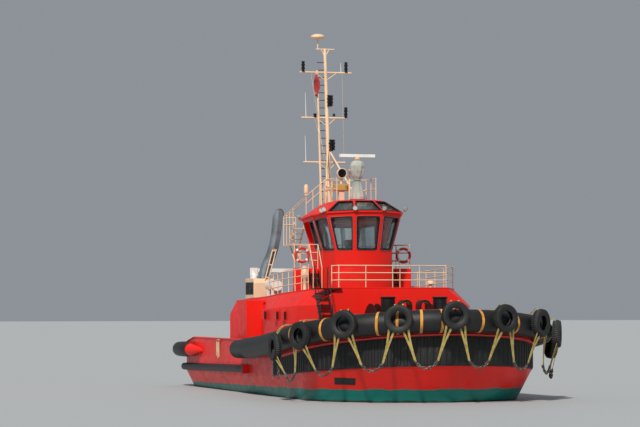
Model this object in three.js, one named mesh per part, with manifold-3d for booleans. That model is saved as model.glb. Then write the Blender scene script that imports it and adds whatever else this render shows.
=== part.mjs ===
// Harbour tugboat with two azimuth thrusters, as separate solids in one frame.
// Millimetres. +X forward, +Y port, +Z up. The origin is on the centreline,
// on the waterline, below the wheelhouse.
import * as THREE from "three";
import { mergeVertices } from "three/addons/utils/BufferGeometryUtils.js";
import Module from "manifold-3d";

const wasm = await Module();
wasm.setup();

// Driving dimensions of the hull
const HALF_BEAM = 4850;
const BOW_START = 8950; // where the straight side ends and the bow's ellipse starts
const BOW_LENGTH = 4600;
const STEM = BOW_START + BOW_LENGTH;
const STERN_START = -9400; // where the side starts to round into the transom
const STERN_LENGTH = 3000;
const STERN_SQUARENESS = 5; // exponent of the stern's superellipse
const TRANSOM = STERN_START - STERN_LENGTH;
const SHEER_START = -2000; // the deck is level aft of this
const BULWARK_TOP = 2380;
const BULWARK_RISE = 1360; // how much the bulwark's top rises to the stem
const BULWARK_HEIGHT = 1270;
const BULWARK_PLATE = 80;
const KNUCKLE = 760;
const KNUCKLE_RISE = 720;
const SEAT = 0.3; // gap between a piece and what carries it
const RUNNING = 6; // gap round what moves
const FAR = 20000; // beyond the whole boat, for cutting tools

// The underwater levels: height, end at the bow, end at the stern, half breadth
const HULL_LEVELS = [
  { z: -3200, stem: 7500, transom: -3200, half: 500 },
  { z: -2950, stem: 9000, transom: -4200, half: 2700 },
  { z: -2300, stem: 10500, transom: -5600, half: 3900 },
  { z: -1300, stem: 11600, transom: -8300, half: 4350 },
  { z: -700, stem: 12000, transom: -11300, half: 4420 },
  { z: 0, stem: 12350, transom: -12050, half: 4520 },
];

// Colours
const RED = 0xec3024;
const DARK_RED = 0xb4261c;
const CREAM = 0xf2baa4;
const BLACK = 0x292929;
const TYRE_BLACK = 0x303030;
const PIPE_GREY = 0x7c8890;
const WHITE = 0xf0eeea;
const STEEL = 0x6d7072;
const BRONZE = 0xa8843f;
const CANVAS = 0xc0bcae;
const GLASS = 0x16242b;

const degrees = THREE.MathUtils.degToRad;

// Solids

// A three.js geometry as a manifold solid, turned right side out.
function solid(geometry) {
  const g = geometry.clone();
  for (const name of Object.keys(g.attributes)) {
    if (name !== "position") g.deleteAttribute(name);
  }
  const merged = mergeVertices(g, 1e-3);
  const vertProperties = new Float32Array(merged.attributes.position.array);
  const triVerts = new Uint32Array(merged.index.array);
  const made = new wasm.Manifold(
    new wasm.Mesh({ numProp: 3, vertProperties, triVerts }),
  );
  if (made.volume() > 0) return made;
  for (let i = 0; i < triVerts.length; i += 3) {
    [triVerts[i + 1], triVerts[i + 2]] = [triVerts[i + 2], triVerts[i + 1]];
  }
  return new wasm.Manifold(
    new wasm.Mesh({ numProp: 3, vertProperties, triVerts }),
  );
}

// A manifold solid as a three.js geometry.
function geometryOf(made) {
  const m = made.getMesh();
  const g = new THREE.BufferGeometry();
  g.setAttribute("position", new THREE.BufferAttribute(m.vertProperties, 3));
  g.setIndex(new THREE.BufferAttribute(m.triVerts, 1));
  const flat = g.toNonIndexed();
  flat.computeVertexNormals();
  return flat;
}

function union(list) {
  return list.reduce((all, piece) => all.add(piece));
}

function box(x0, x1, y0, y1, z0, z1) {
  const g = new THREE.BoxGeometry(x1 - x0, y1 - y0, z1 - z0);
  g.translate((x0 + x1) / 2, (y0 + y1) / 2, (z0 + z1) / 2);
  return solid(g);
}

// A round bar between two points, with another radius at its far end if given.
function rod(from, to, radius, sides = 6, farRadius = radius) {
  const a = new THREE.Vector3(...from);
  const b = new THREE.Vector3(...to);
  const g = new THREE.CylinderGeometry(farRadius, radius, a.distanceTo(b), sides);
  const turn = new THREE.Quaternion().setFromUnitVectors(
    new THREE.Vector3(0, 1, 0),
    b.clone().sub(a).normalize(),
  );
  g.applyQuaternion(turn);
  g.translate(...a.add(b).multiplyScalar(0.5).toArray());
  return solid(g);
}

// The hole for a round pin, just wide enough for both to be faceted.
const PIN_SIDES = 24;
const boreFor = (radius) => (radius + 0.15) / Math.cos(Math.PI / PIN_SIDES);

function pin(from, to, radius) {
  return rod(from, to, radius, PIN_SIDES);
}

// A turned solid from a closed [radius, height] profile, its axis along axis.
function turned(profile, sides, axis = "z") {
  const points = profile.map(([r, h]) => new THREE.Vector2(r, h));
  const g = new THREE.LatheGeometry(points, sides);
  if (axis === "z") g.rotateX(Math.PI / 2);
  if (axis === "x") g.rotateZ(-Math.PI / 2);
  return solid(g);
}

// A solid through rings with equal numbers of points. A looped one joins its
// last ring to its first; otherwise each end gets the cap's triangles.
function loft(rings, { looped = false, cap = fanCap } = {}) {
  const n = rings[0].length;
  const index = [];
  const last = looped ? rings.length : rings.length - 1;
  for (let r = 0; r < last; r++) {
    const lower = r * n;
    const upper = ((r + 1) % rings.length) * n;
    for (let i = 0; i < n; i++) {
      const j = (i + 1) % n;
      index.push(lower + i, lower + j, upper + j, lower + i, upper + j, upper + i);
    }
  }
  if (!looped) {
    const end = (rings.length - 1) * n;
    for (const [a, b, c] of cap(rings[0])) index.push(a, c, b);
    for (const [a, b, c] of cap(rings.at(-1))) index.push(end + a, end + b, end + c);
  }
  const g = new THREE.BufferGeometry();
  g.setAttribute("position", new THREE.Float32BufferAttribute(rings.flat(2), 3));
  g.setIndex(index);
  return solid(g);
}

function fanCap(ring) {
  return ring.slice(2).map((_, i) => [0, i + 1, i + 2]);
}

// Triangles across a ring that is the same on port and starboard, in strips.
function ladderCap(ring) {
  const n = ring.length;
  const half = n / 2;
  const triangles = [[0, 1, n - 1]];
  for (let k = 1; k < half - 1; k++) {
    triangles.push([k, k + 1, n - k - 1], [k, n - k - 1, n - k]);
  }
  triangles.push([half - 1, half, half + 1]);
  return triangles;
}

// An upright solid over a plan outline of [x, y] points.
function upright(outline, z0, z1) {
  return loft([z0, z1].map((z) => outline.map(([x, y]) => [x, y, z])));
}

function mirrored(piece) {
  return piece.mirror([0, 1, 0]);
}

// Mesh with a node's name.
function mesh(name, made, color, roughness = 0.6, metalness = 0) {
  const material = new THREE.MeshStandardMaterial({ color, roughness, metalness });
  const m = new THREE.Mesh(geometryOf(made), material);
  m.name = name;
  return m;
}

// The hull's lines

function sheer(x) {
  return x < SHEER_START ? 0 : ((x - SHEER_START) / (STEM - SHEER_START)) ** 2;
}

const topAt = (x) => BULWARK_TOP + BULWARK_RISE * sheer(x);
const deckAt = (x) => topAt(x) - BULWARK_HEIGHT;
const knuckleAt = (x) => KNUCKLE + KNUCKLE_RISE * sheer(x);

// Half outlines of the deck edge as [x, half breadth], from forward to aft.
const BOW_ANGLES = Array.from({ length: 11 }, (_, i) => degrees(i * 9));
const bowArc = BOW_ANGLES.map((t) => [
  BOW_START + BOW_LENGTH * Math.cos(t),
  HALF_BEAM * Math.sin(t),
]);
const STERN_ANGLES = [80, 64, 48, 30, 12, 0].map(degrees);
const sternArc = STERN_ANGLES.map((t) => [
  STERN_START - STERN_LENGTH * Math.cos(t) ** (2 / STERN_SQUARENESS),
  HALF_BEAM * Math.sin(t) ** (2 / STERN_SQUARENESS),
]);
const SIDE_STATIONS = [7000, 5000, 3000, 1000, -2000, STERN_START];
const side = SIDE_STATIONS.map((x) => [x, HALF_BEAM]);
const deckHalf = [...bowArc, ...side, ...sternArc];

// The whole loop of [x, y], from the stem down starboard and back up port.
function wholeLoop(half) {
  const starboard = half.map(([x, h]) => [x, -h]);
  const port = half.slice(1, -1).map(([x, h]) => [x, h]);
  return [...starboard, ...port.reverse()];
}

function levelRing({ z, stem, transom, half }) {
  return wholeLoop(deckHalf).map(([x, y]) => [
    x > 0 ? (x * stem) / STEM : (x * transom) / TRANSOM,
    (y * half) / HALF_BEAM,
    z,
  ]);
}

function hullSolid() {
  const rings = HULL_LEVELS.map(levelRing);
  for (const height of [knuckleAt, deckAt]) {
    rings.push(wholeLoop(deckHalf).map(([x, y]) => [x, y, height(x)]));
  }
  return loft(rings, { cap: ladderCap });
}

// The mitred outward direction at each point of a plan line.
function outward(line, looped) {
  return line.map(([x, y], i) => {
    const n = line.length;
    const before = looped ? line[(i + n - 1) % n] : line[Math.max(i - 1, 0)];
    const after = looped ? line[(i + 1) % n] : line[Math.min(i + 1, n - 1)];
    const legs = [
      [x - before[0], y - before[1]],
      [after[0] - x, after[1] - y],
    ].filter(([dx, dy]) => Math.hypot(dx, dy) > 1);
    const normals = legs.map(([dx, dy]) => {
      const length = Math.hypot(dx, dy);
      return [dy / length, -dx / length];
    });
    const sum = normals.reduce((a, b) => [a[0] + b[0], a[1] + b[1]], [0, 0]);
    const length = Math.hypot(...sum);
    const mean = [sum[0] / length, sum[1] / length];
    const cosine = mean[0] * normals[0][0] + mean[1] * normals[0][1];
    return [mean[0] / cosine, mean[1] / cosine];
  });
}

// A band along a plan line. profile(x, i) gives [out, z] points at a station.
// The line runs so that its right-hand side, seen from above, is outboard.
function belt(line, profile, looped = false) {
  const normals = outward(line, looped);
  const rings = line.map(([x, y], i) =>
    profile(x, i).map(([out, z]) => [x + normals[i][0] * out, y + normals[i][1] * out, z]),
  );
  return loft(rings, { looped });
}

// The line from starboard aft, round the bow, to port aft.
function roundBow(sternmost, stations) {
  const aft = [...stations, sternmost].map((x) => [x, HALF_BEAM]);
  const port = [...bowArc.slice(1), ...aft];
  const starboard = port.map(([x, y]) => [x, -y]).reverse();
  return [...starboard, bowArc[0], ...port];
}

// The line from port, round the stern, to starboard.
function roundStern(foremost) {
  const port = [[foremost, HALF_BEAM], [STERN_START, HALF_BEAM], ...sternArc.slice(0, -1)];
  const starboard = port.map(([x, y]) => [x, -y]).reverse();
  return [...port, sternArc.at(-1), ...starboard];
}

function circleProfile(out, z, radius, sides) {
  return Array.from({ length: sides }, (_, i) => {
    const t = (i * 2 * Math.PI) / sides;
    return [out + radius * Math.cos(t), z + radius * Math.sin(t)];
  });
}

// Hull group

// A thruster's place under the stern
const THRUSTER_X = -9300;
const THRUSTER_Y = 2300;
const THRUSTER_PAD_Z = -1450;
const THRUSTER_PAD_R = 650;
const STEM_SHAFT_R = 90;
const PROPELLER_Z = -2850;

const bareHull = hullSolid();

function hull() {
  const pads = [-1, 1].map((s) => {
    const at = [THRUSTER_X, s * THRUSTER_Y];
    const pad = rod([...at, THRUSTER_PAD_Z], [...at, -300], THRUSTER_PAD_R, 24);
    const bore = pin([...at, THRUSTER_PAD_Z - 50], [...at, THRUSTER_PAD_Z + 260], boreFor(STEM_SHAFT_R));
    return { pad, bore };
  });
  return pads.reduce((all, { pad, bore }) => all.add(pad).subtract(bore), bareHull);
}

// What stands on the deck is cut by the deck's own surface, a seat's gap above it.
const underDeck = bareHull.translate([0, 0, SEAT]);

function onDeck(piece) {
  return piece.subtract(underDeck);
}

// The fin below the after body, from the keel's end to between the thrusters
const SKEG_THICKNESS = 260;
const SKEG_FOOT = -4050;

function skeg() {
  const outline = [
    [3000, -2600],
    [1200, SKEG_FOOT],
    [-7200, SKEG_FOOT],
    [-7700, -1000],
  ];
  const shape = new THREE.Shape(outline.map(([x, z]) => new THREE.Vector2(x, z)));
  const g = new THREE.ExtrudeGeometry(shape, { depth: SKEG_THICKNESS, bevelEnabled: false });
  g.rotateX(Math.PI / 2);
  g.translate(0, SKEG_THICKNESS / 2, 0);
  return solid(g).subtract(bareHull.translate([0, 0, -SEAT]));
}

// Bulwark: the plate round the deck, its cap, its stays, the shelf under the
// bow fender and the cones that end the stern fender
const CAP_OUT = 40;
const CAP_IN = 190;
const CAP_THICK = 50;
const STERN_FALL = 320; // the bulwark's top falls this much over the quarter
const STERN_FALL_LENGTH = 2150;
const STAY_SPACING = 2150;
const STAY_DEPTH = 420;
const STAY_THICK = 40;
const SHELF_DROP = 1000; // the shelf's height below the bulwark's top
const SHELF_END = 4700;
const SHELF_OUT = 130;
const SHELF_THICK = 40;

const sternFallAt = (x) => Math.min(Math.max((STERN_START - x) / STERN_FALL_LENGTH, 0), 1);
const bulwarkTopAt = (x) => topAt(x) - STERN_FALL * sternFallAt(x);

function bulwarkPlate() {
  return belt(
    wholeLoop(deckHalf).reverse(),
    (x) => {
      const [low, high] = [deckAt(x) + SEAT, bulwarkTopAt(x)];
      return [
        [0, low],
        [0, high - CAP_THICK],
        [CAP_OUT, high - CAP_THICK],
        [CAP_OUT, high],
        [-CAP_IN, high],
        [-CAP_IN, high - CAP_THICK],
        [-BULWARK_PLATE, high - CAP_THICK],
        [-BULWARK_PLATE, low],
      ];
    },
    true,
  );
}

// The room that the bulwark's cap needs, as a tool for cutting.
function aroundCap() {
  return belt(
    wholeLoop(deckHalf).reverse(),
    (x) => {
      const high = bulwarkTopAt(x) + SEAT;
      return [
        [CAP_OUT + SEAT, high - 2 * CAP_THICK],
        [CAP_OUT + SEAT, high],
        [-CAP_IN - SEAT, high],
        [-CAP_IN - SEAT, high - 2 * CAP_THICK],
      ];
    },
    true,
  );
}

// A stay is a tapered plate from the bulwark's inside down to the deck.
function stay(x, y, inward) {
  const low = deckAt(x) - 60;
  const high = bulwarkTopAt(x) - CAP_THICK - 20;
  const reach = [BULWARK_PLATE - 10, BULWARK_PLATE + STAY_DEPTH];
  const across = [-inward[1] * STAY_THICK * 0.5, inward[0] * STAY_THICK * 0.5];
  const profile = [
    [reach[0], low],
    [reach[1], low],
    [reach[0] + 70, high],
    [reach[0], high],
  ];
  const rings = [-1, 1].map((s) =>
    profile.map(([d, z]) => [x + inward[0] * d + s * across[0], y + inward[1] * d + s * across[1], z]),
  );
  return onDeck(loft(rings));
}

function sideStays() {
  const stays = [];
  for (let x = -10400; x <= BOW_START; x += STAY_SPACING) {
    stays.push(stay(x, HALF_BEAM, [0, -1]), stay(x, -HALF_BEAM, [0, 1]));
  }
  for (const t of [25, 55].map(degrees)) {
    const [x, y] = [BOW_START + BOW_LENGTH * Math.cos(t), HALF_BEAM * Math.sin(t)];
    const slope = [-Math.cos(t) / BOW_LENGTH, -Math.sin(t) / HALF_BEAM];
    const length = Math.hypot(...slope);
    const inward = [slope[0] / length, slope[1] / length];
    stays.push(stay(x, y, inward), stay(x, -y, [inward[0], -inward[1]]));
  }
  return stays;
}

// Stern fender, thinner at its ends, and the cones that carry on from it
const STERN_FENDER_R = 340;
const STERN_FENDER_Z = 1770;
const STERN_FENDER_END = -9000;
const STERN_FENDER_END_R = 290;
const CONE_END = -7600;
const FENDER_SIDES = 10;

function sternFender() {
  const slimming = (STERN_FENDER_R - STERN_FENDER_END_R) / (STERN_FENDER_END - STERN_START);
  return belt(roundStern(STERN_FENDER_END), (x) => {
    const radius = STERN_FENDER_R - slimming * Math.max(x - STERN_START, 0);
    return circleProfile(radius + SEAT, STERN_FENDER_Z, radius, FENDER_SIDES);
  });
}

function sternCone() {
  const stations = [
    { x: CONE_END, radius: 60 },
    { x: (CONE_END + STERN_FENDER_END) / 2, radius: 190 },
    { x: STERN_FENDER_END + SEAT, radius: STERN_FENDER_END_R },
  ];
  const rings = stations.map(({ x, radius }) =>
    circleProfile(radius - 25, STERN_FENDER_Z, radius, FENDER_SIDES).map(([out, z]) => [
      x,
      HALF_BEAM + out,
      z,
    ]),
  );
  const hollow = bulwarkCore();
  return loft(rings).subtract(hollow);
}

// Everything inboard of the bulwark's outer face, as a tool for cutting.
function bulwarkCore() {
  return loft([0, 5000].map((z) => wholeLoop(deckHalf).map(([x, y]) => [x, y, z])));
}

function shelf() {
  return belt(roundBow(SHELF_END, [7000]), (x) => {
    const z = topAt(x) - SHELF_DROP;
    return [
      [-20, z - SHELF_THICK],
      [SHELF_OUT, z - SHELF_THICK],
      [SHELF_OUT, z],
      [-20, z],
    ];
  });
}

const BULWARK_JOINT = -2800; // where its fore and after lengths meet

function bulwark() {
  const cone = sternCone();
  const whole = union([bulwarkPlate(), ...sideStays(), shelf(), cone, mirrored(cone)]);
  return {
    fore: whole.intersect(box(BULWARK_JOINT, FAR, -FAR, FAR, -FAR, FAR)),
    aft: whole.intersect(box(-FAR, BULWARK_JOINT - SEAT, -FAR, FAR, -FAR, FAR)),
  };
}

// The black rubber panel on the bow, below the shelf
const PANEL_THICK = 70;
const PANEL_TOP_GAP = 6; // the shelf's underside is twisted a little round the bow

function bowPanel() {
  return belt(roundBow(SHELF_END, [7000]), (x) => {
    const [low, high] = [knuckleAt(x) + 20, topAt(x) - SHELF_DROP - SHELF_THICK - PANEL_TOP_GAP];
    return [
      [SEAT, low],
      [PANEL_THICK, low],
      [PANEL_THICK, high],
      [SEAT, high],
    ];
  });
}

// The big fender round the bow, thinner and rounded at its after ends
const BOW_FENDER_R = 450;
const BOW_FENDER_DROP = 450;
const BOW_FENDER_END = 0;
const BOW_FENDER_TAPER = 2500; // how far before its end it starts to taper

function bowFender() {
  const line = roundBow(BOW_FENDER_END, [7000, 5000, 3200, 1800, 700, 200]);
  const taper = (x) => {
    const along = Math.max(0, 1 - (x - BOW_FENDER_END) / BOW_FENDER_TAPER);
    return along < 0.85 ? 1 - 0.13 * along : 0.89 - 3.6 * (along - 0.85);
  };
  return belt(line, (x) => {
    const radius = BOW_FENDER_R * taper(x);
    return circleProfile(radius + SEAT, topAt(x) - BOW_FENDER_DROP, radius, FENDER_SIDES);
  });
}

// The D-shaped rubbing fender along each side and round the quarter
const SIDE_FENDER_TOP = 1090;
const SIDE_FENDER_HEIGHT = 330;
const SIDE_FENDER_OUT = 260;
const SIDE_FENDER_FOREMOST = 600;

function sideFender() {
  const line = [
    [SIDE_FENDER_FOREMOST, HALF_BEAM],
    [-4500, HALF_BEAM],
    [STERN_START, HALF_BEAM],
    ...sternArc.slice(0, 4),
  ];
  return belt(line, (x) => {
    const along = (x - TRANSOM) / (SIDE_FENDER_FOREMOST - TRANSOM);
    const top = SIDE_FENDER_TOP + 180 * along;
    const low = top - SIDE_FENDER_HEIGHT;
    return [
      [SEAT, low],
      [SIDE_FENDER_OUT * 0.7, low + 20],
      [SIDE_FENDER_OUT, low + 90],
      [SIDE_FENDER_OUT, top - 90],
      [SIDE_FENDER_OUT * 0.7, top - 20],
      [SEAT, top],
    ];
  });
}

// Tyres hung on the bow fender, with the straps and chains between them
const TYRE_R = 585;
const TYRE_HOLE_R = 300;
const TYRE_WIDTH = 340;
const TYRE_SPACING = 2250; // along the curve that the tyres' middles follow
const TYRE_SHIFT = -170; // the whole row sits a little to starboard
// A tyre's middle below the bulwark's top, from the stem's tyre aft
const TYRE_DROPS = [240, 320, 360, 600, 850];
const TYRE_OUT = BOW_FENDER_R * 2 + 2 * SEAT + TYRE_WIDTH / 2;
const TYRE_SIDES = 14;
const STRAP_WIDTH = 100;
const STRAP_THICK = 34;
const SHACKLE_DROP = 1930; // where a strap ends, below the bulwark's top
const CHAIN_DROP = 2260; // the lowest point of the chain between two straps
const GARLAND_OUT = 280;

// Points a fixed distance outside the bow curve, by length from the stem.
function bowCurve(out) {
  const steps = 240;
  const points = [];
  for (let i = 0; i <= steps; i++) {
    const t = (i / steps) * (Math.PI / 2);
    const normal = [HALF_BEAM * Math.cos(t), BOW_LENGTH * Math.sin(t)];
    const length = Math.hypot(...normal);
    const direction = [normal[0] / length, normal[1] / length];
    points.push({
      x: BOW_START + BOW_LENGTH * Math.cos(t) + direction[0] * out,
      y: HALF_BEAM * Math.sin(t) + direction[1] * out,
      direction,
    });
  }
  return points;
}

// A place beside the bow: a length round from the stem, positive to port.
function besideBow(along, out) {
  const curve = bowCurve(TYRE_OUT);
  let left = Math.abs(along);
  const hand = Math.sign(along) || 1;
  let found = curve.at(-1);
  for (let i = 1; i < curve.length && left > 0; i++) {
    const step = Math.hypot(curve[i].x - curve[i - 1].x, curve[i].y - curve[i - 1].y);
    found = curve[i];
    if (step >= left) {
      left = 0;
      break;
    }
    left -= step;
  }
  if (Math.abs(along) < 1) found = curve[0];
  const [nx, ny] = found.direction;
  const shift = out - TYRE_OUT;
  return {
    x: found.x + nx * shift - left,
    y: hand * (found.y + ny * shift),
    normal: [nx, hand * ny],
  };
}

function tyreAt({ along, drop }) {
  const { x, y, normal } = besideBow(along, TYRE_OUT);
  const half = TYRE_WIDTH / 2;
  const profile = [
    [TYRE_HOLE_R, -half * 0.8],
    [TYRE_R - 90, -half],
    [TYRE_R, -half * 0.5],
    [TYRE_R, half * 0.5],
    [TYRE_R - 90, half],
    [TYRE_HOLE_R, half * 0.8],
    [TYRE_HOLE_R, -half * 0.8],
  ];
  const turnZ = (Math.atan2(normal[1], normal[0]) * 180) / Math.PI;
  return turned(profile, TYRE_SIDES, "x")
    .rotate([0, 0, turnZ])
    .translate([x, y, topAt(Math.min(x, STEM)) - drop]);
}

// A flat strap through places beside the bow, each {along, out, drop}.
function strap(route, width, thick) {
  const pieces = [];
  for (let i = 1; i < route.length; i++) {
    const ends = [route[i - 1], route[i]].map(({ along, out, drop }) => {
      const place = besideBow(along, out);
      return { ...place, z: topAt(Math.min(place.x, STEM)) - drop };
    });
    const run = new THREE.Vector3(ends[1].x - ends[0].x, ends[1].y - ends[0].y, ends[1].z - ends[0].z);
    const face = new THREE.Vector3(...ends[0].normal, 0);
    if (Math.abs(run.z) < 0.3 * run.length()) face.set(0, 0, 1);
    const across = run.clone().cross(face).normalize().multiplyScalar(width / 2);
    const through = across.clone().cross(run).normalize().multiplyScalar(thick / 2);
    const stretch = run.clone().normalize().multiplyScalar(thick / 2);
    const corners = [
      [1, 1],
      [-1, 1],
      [-1, -1],
      [1, -1],
    ];
    const rings = ends.map(({ x, y, z }, end) =>
      corners.map(([a, b]) => {
        const p = new THREE.Vector3(x, y, z);
        p.addScaledVector(across, a).addScaledVector(through, b);
        return p.addScaledVector(stretch, end ? 1 : -1).toArray();
      }),
    );
    pieces.push(loft(rings));
  }
  return union(pieces);
}

// From one tyre's foot down to the chain and up to the next tyre's foot.
function garland(from, to) {
  const between = (share) => from.along + (to.along - from.along) * share;
  const foot = (drop) => drop + TYRE_R - 120;
  return strap(
    [
      { along: between(0.12), out: TYRE_OUT + 60, drop: foot(from.drop) },
      { along: between(0.31), out: GARLAND_OUT, drop: SHACKLE_DROP },
      { along: between(0.5), out: GARLAND_OUT, drop: CHAIN_DROP },
      { along: between(0.69), out: GARLAND_OUT, drop: SHACKLE_DROP },
      { along: between(0.88), out: TYRE_OUT + 60, drop: foot(to.drop) },
    ],
    STRAP_WIDTH,
    STRAP_THICK,
  );
}

// The short strap that holds a tyre, over the fender to the bulwark's cap.
function hanger({ along, drop }) {
  const route = [
    { out: TYRE_OUT, drop: drop - (TYRE_R + TYRE_HOLE_R) / 2 },
    { out: BOW_FENDER_R * 1.3, drop: -90 },
    { out: -CAP_IN + 60, drop: -STRAP_THICK / 2 + 4 },
  ];
  return strap(
    route.map((place) => ({ along, ...place })),
    STRAP_WIDTH,
    STRAP_THICK,
  );
}

// The row of tyres in two lengths, which meet in the chain beside the middle tyre
function fenderTyres() {
  const last = TYRE_DROPS.length - 1;
  const places = [];
  for (let i = -last; i <= last; i++) {
    places.push({ along: i * TYRE_SPACING + TYRE_SHIFT, drop: TYRE_DROPS[Math.abs(i)] });
  }
  const tyres = places.map(tyreAt);
  const garlands = places.slice(1).map((to, i) => garland(places[i], to));
  const row = union([...tyres, ...places.map(hanger), ...garlands]).subtract(aroundCap());
  const meeting = besideBow(TYRE_SHIFT + TYRE_SPACING / 2, GARLAND_OUT).y;
  return {
    starboard: row.intersect(box(-FAR, FAR, -FAR, meeting, -FAR, FAR)),
    port: row.intersect(box(-FAR, FAR, meeting + SEAT, FAR, -FAR, FAR)),
  };
}

// Deckhouse

const HOUSE_WALL = 80;
const HOUSE_TOP_FRONT = 4640;
const HOUSE_SLOPE = 0.037; // the top falls this much for each step aft
const HOUSE_KNUCKLE_FRONT = 3900;
const HOUSE_KNUCKLE_SLOPE = 0.03;
const HOUSE_FRONT = 6160;
const HOUSE_AFT = -9000;
const HOUSE_SPLIT = -3300; // where the fore and after walls meet
const ROOF_PLATE = 60;
// The plan: place along the ship, half breadth below the knuckle and at the top
const HOUSE_PLAN = [
  { x: HOUSE_FRONT, wall: 3280, top: 2440 },
  { x: 4800, wall: 3900, top: 3200 },
  { x: 0, wall: 3900, top: 3200 },
  { x: HOUSE_SPLIT, wall: 3200, top: 2900 },
  { x: HOUSE_AFT, wall: 3200, top: 2900 },
];

const houseTopAt = (x) => HOUSE_TOP_FRONT + (x - HOUSE_FRONT) * HOUSE_SLOPE;
const houseKnuckleAt = (x) => HOUSE_KNUCKLE_FRONT + (x - HOUSE_FRONT) * HOUSE_KNUCKLE_SLOPE;

function housePlan(key, inset) {
  const last = HOUSE_PLAN.length - 1;
  const half = HOUSE_PLAN.map((row, i) => {
    const x = i === 0 ? row.x - inset : i === last ? row.x + inset : row.x;
    return [x, row[key] - inset];
  });
  return [...half.map(([x, y]) => [x, -y]), ...half.reverse()];
}

// The deckhouse with its walls moved in and its top lowered. With above, it
// goes straight on up from there, as a tool for hollowing the walls.
function houseBody(inset, drop, above = 0) {
  const rings = [
    housePlan("wall", inset).map(([x, y]) => [x, y, 0]),
    housePlan("wall", inset).map(([x, y]) => [x, y, houseKnuckleAt(x) - inset * 0.3]),
    housePlan("top", inset).map(([x, y]) => [x, y, houseTopAt(x) - drop]),
  ];
  if (above > 0) rings.push(rings[2].map(([x, y, z]) => [x, y, z + above]));
  return loft(rings, { cap: stripCap });
}

// Strips across a ring whose first half is starboard and second half port.
function stripCap(ring) {
  const n = ring.length;
  const triangles = [];
  for (let k = 0; k < n / 2 - 1; k++) {
    triangles.push([k, k + 1, n - 2 - k], [k, n - 2 - k, n - 1 - k]);
  }
  return triangles;
}

// The boxes on both sides where the house narrows
const TRUNK = { x0: -4800, x1: HOUSE_SPLIT - 20, y: 3900, top: 4080 };
// The door in the after wall
const HOUSE_DOOR = { y0: -1500, y1: -700, z0: 1290, z1: 3190, gap: 10 };
const houseHinges = () => {
  const { y0, z0, z1, gap } = HOUSE_DOOR;
  const pair = hinges([z0 + 300, z1 - 300]);
  const place = (piece) => piece.rotate([0, 0, -90]).translate([HOUSE_AFT, y0 - gap / 2, 0]);
  return { leaf: place(pair.leaf), frame: place(pair.frame) };
};

function houseWalls() {
  const drop = ROOF_PLATE + SEAT;
  const shell = houseBody(0, drop).subtract(houseBody(HOUSE_WALL, drop, 400));
  const aftInside = box(HOUSE_AFT + 500, HOUSE_SPLIT + 400, -3100, 3100, 0, TRUNK.top - 90);
  const trunks = [-1, 1].map((s) => {
    const y = [s * 2900, s * TRUNK.y].sort((a, b) => a - b);
    return box(TRUNK.x0, TRUNK.x1, y[0], y[1], 0, TRUNK.top).subtract(aftInside);
  });
  const fore = box(HOUSE_SPLIT, FAR, -FAR, FAR, -FAR, FAR);
  const aft = box(-FAR, HOUSE_SPLIT - SEAT, -FAR, FAR, -FAR, FAR);
  const { y0, y1, z0, z1, gap } = HOUSE_DOOR;
  const doorway = box(HOUSE_AFT - 200, HOUSE_AFT + 300, y0 - gap, y1 + gap, z0 - gap, z1 + gap);
  return {
    fore: onDeck(shell.intersect(fore)),
    aft: onDeck(union([shell.intersect(aft), ...trunks]))
      .subtract(doorway)
      .add(houseHinges().frame),
  };
}

function houseDoor() {
  const { y0, y1, z0, z1 } = HOUSE_DOOR;
  const leaf = box(HOUSE_AFT + 5, HOUSE_AFT + 65, y0, y1, z0, z1);
  const middle = (y0 + y1) / 2;
  const porthole = rod([HOUSE_AFT - 50, middle, 2600], [HOUSE_AFT + 200, middle, 2600], 150, 20);
  return leaf.subtract(porthole).add(houseHinges().leaf);
}

function houseTop() {
  const outer = housePlan("top", 0);
  const rings = [ROOF_PLATE, 0].map((drop) => outer.map(([x, y]) => [x, y, houseTopAt(x) - drop]));
  return loft(rings, { cap: stripCap });
}

// Everything under the deckhouse's upper face, a seat's gap above it
const underHouseTop = loft(
  [() => 0, (x) => houseTopAt(x) + SEAT].map((height) =>
    housePlan("top", -300).map(([x, y]) => [x, y, height(x)]),
  ),
  { cap: stripCap },
);

function onHouse(piece) {
  return piece.subtract(underHouseTop);
}

// Hinges of an outward door: barrels on the leaf between lugs on the frame.
// Built for a wall that faces -Y, with its face at y = 0 and the leaf at -X.
const HINGE = { radius: 18, out: 22, barrel: 120, lug: 60, arm: 80, sink: 14 };

function hinges(heights) {
  const { radius, out, barrel, lug, arm, sink } = HINGE;
  const half = barrel / 2;
  const leaf = heights.flatMap((z) => [
    rod([0, -out, z - half], [0, -out, z + half], radius, 12),
    box(-arm, 0, -out - 8, sink, z - half, z + half),
  ]);
  const frame = heights.flatMap((z) =>
    [-1, 1].flatMap((s) => {
      const ends = [z + s * (half + SEAT), z + s * (half + SEAT + lug)].sort((a, b) => a - b);
      return [
        rod([0, -out, ends[0]], [0, -out, ends[1]], radius, 12),
        box(0, arm, -out - 8, sink, ends[0], ends[1]),
      ];
    }),
  );
  return { leaf: union(leaf), frame: union(frame) };
}

// Stairs

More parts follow.
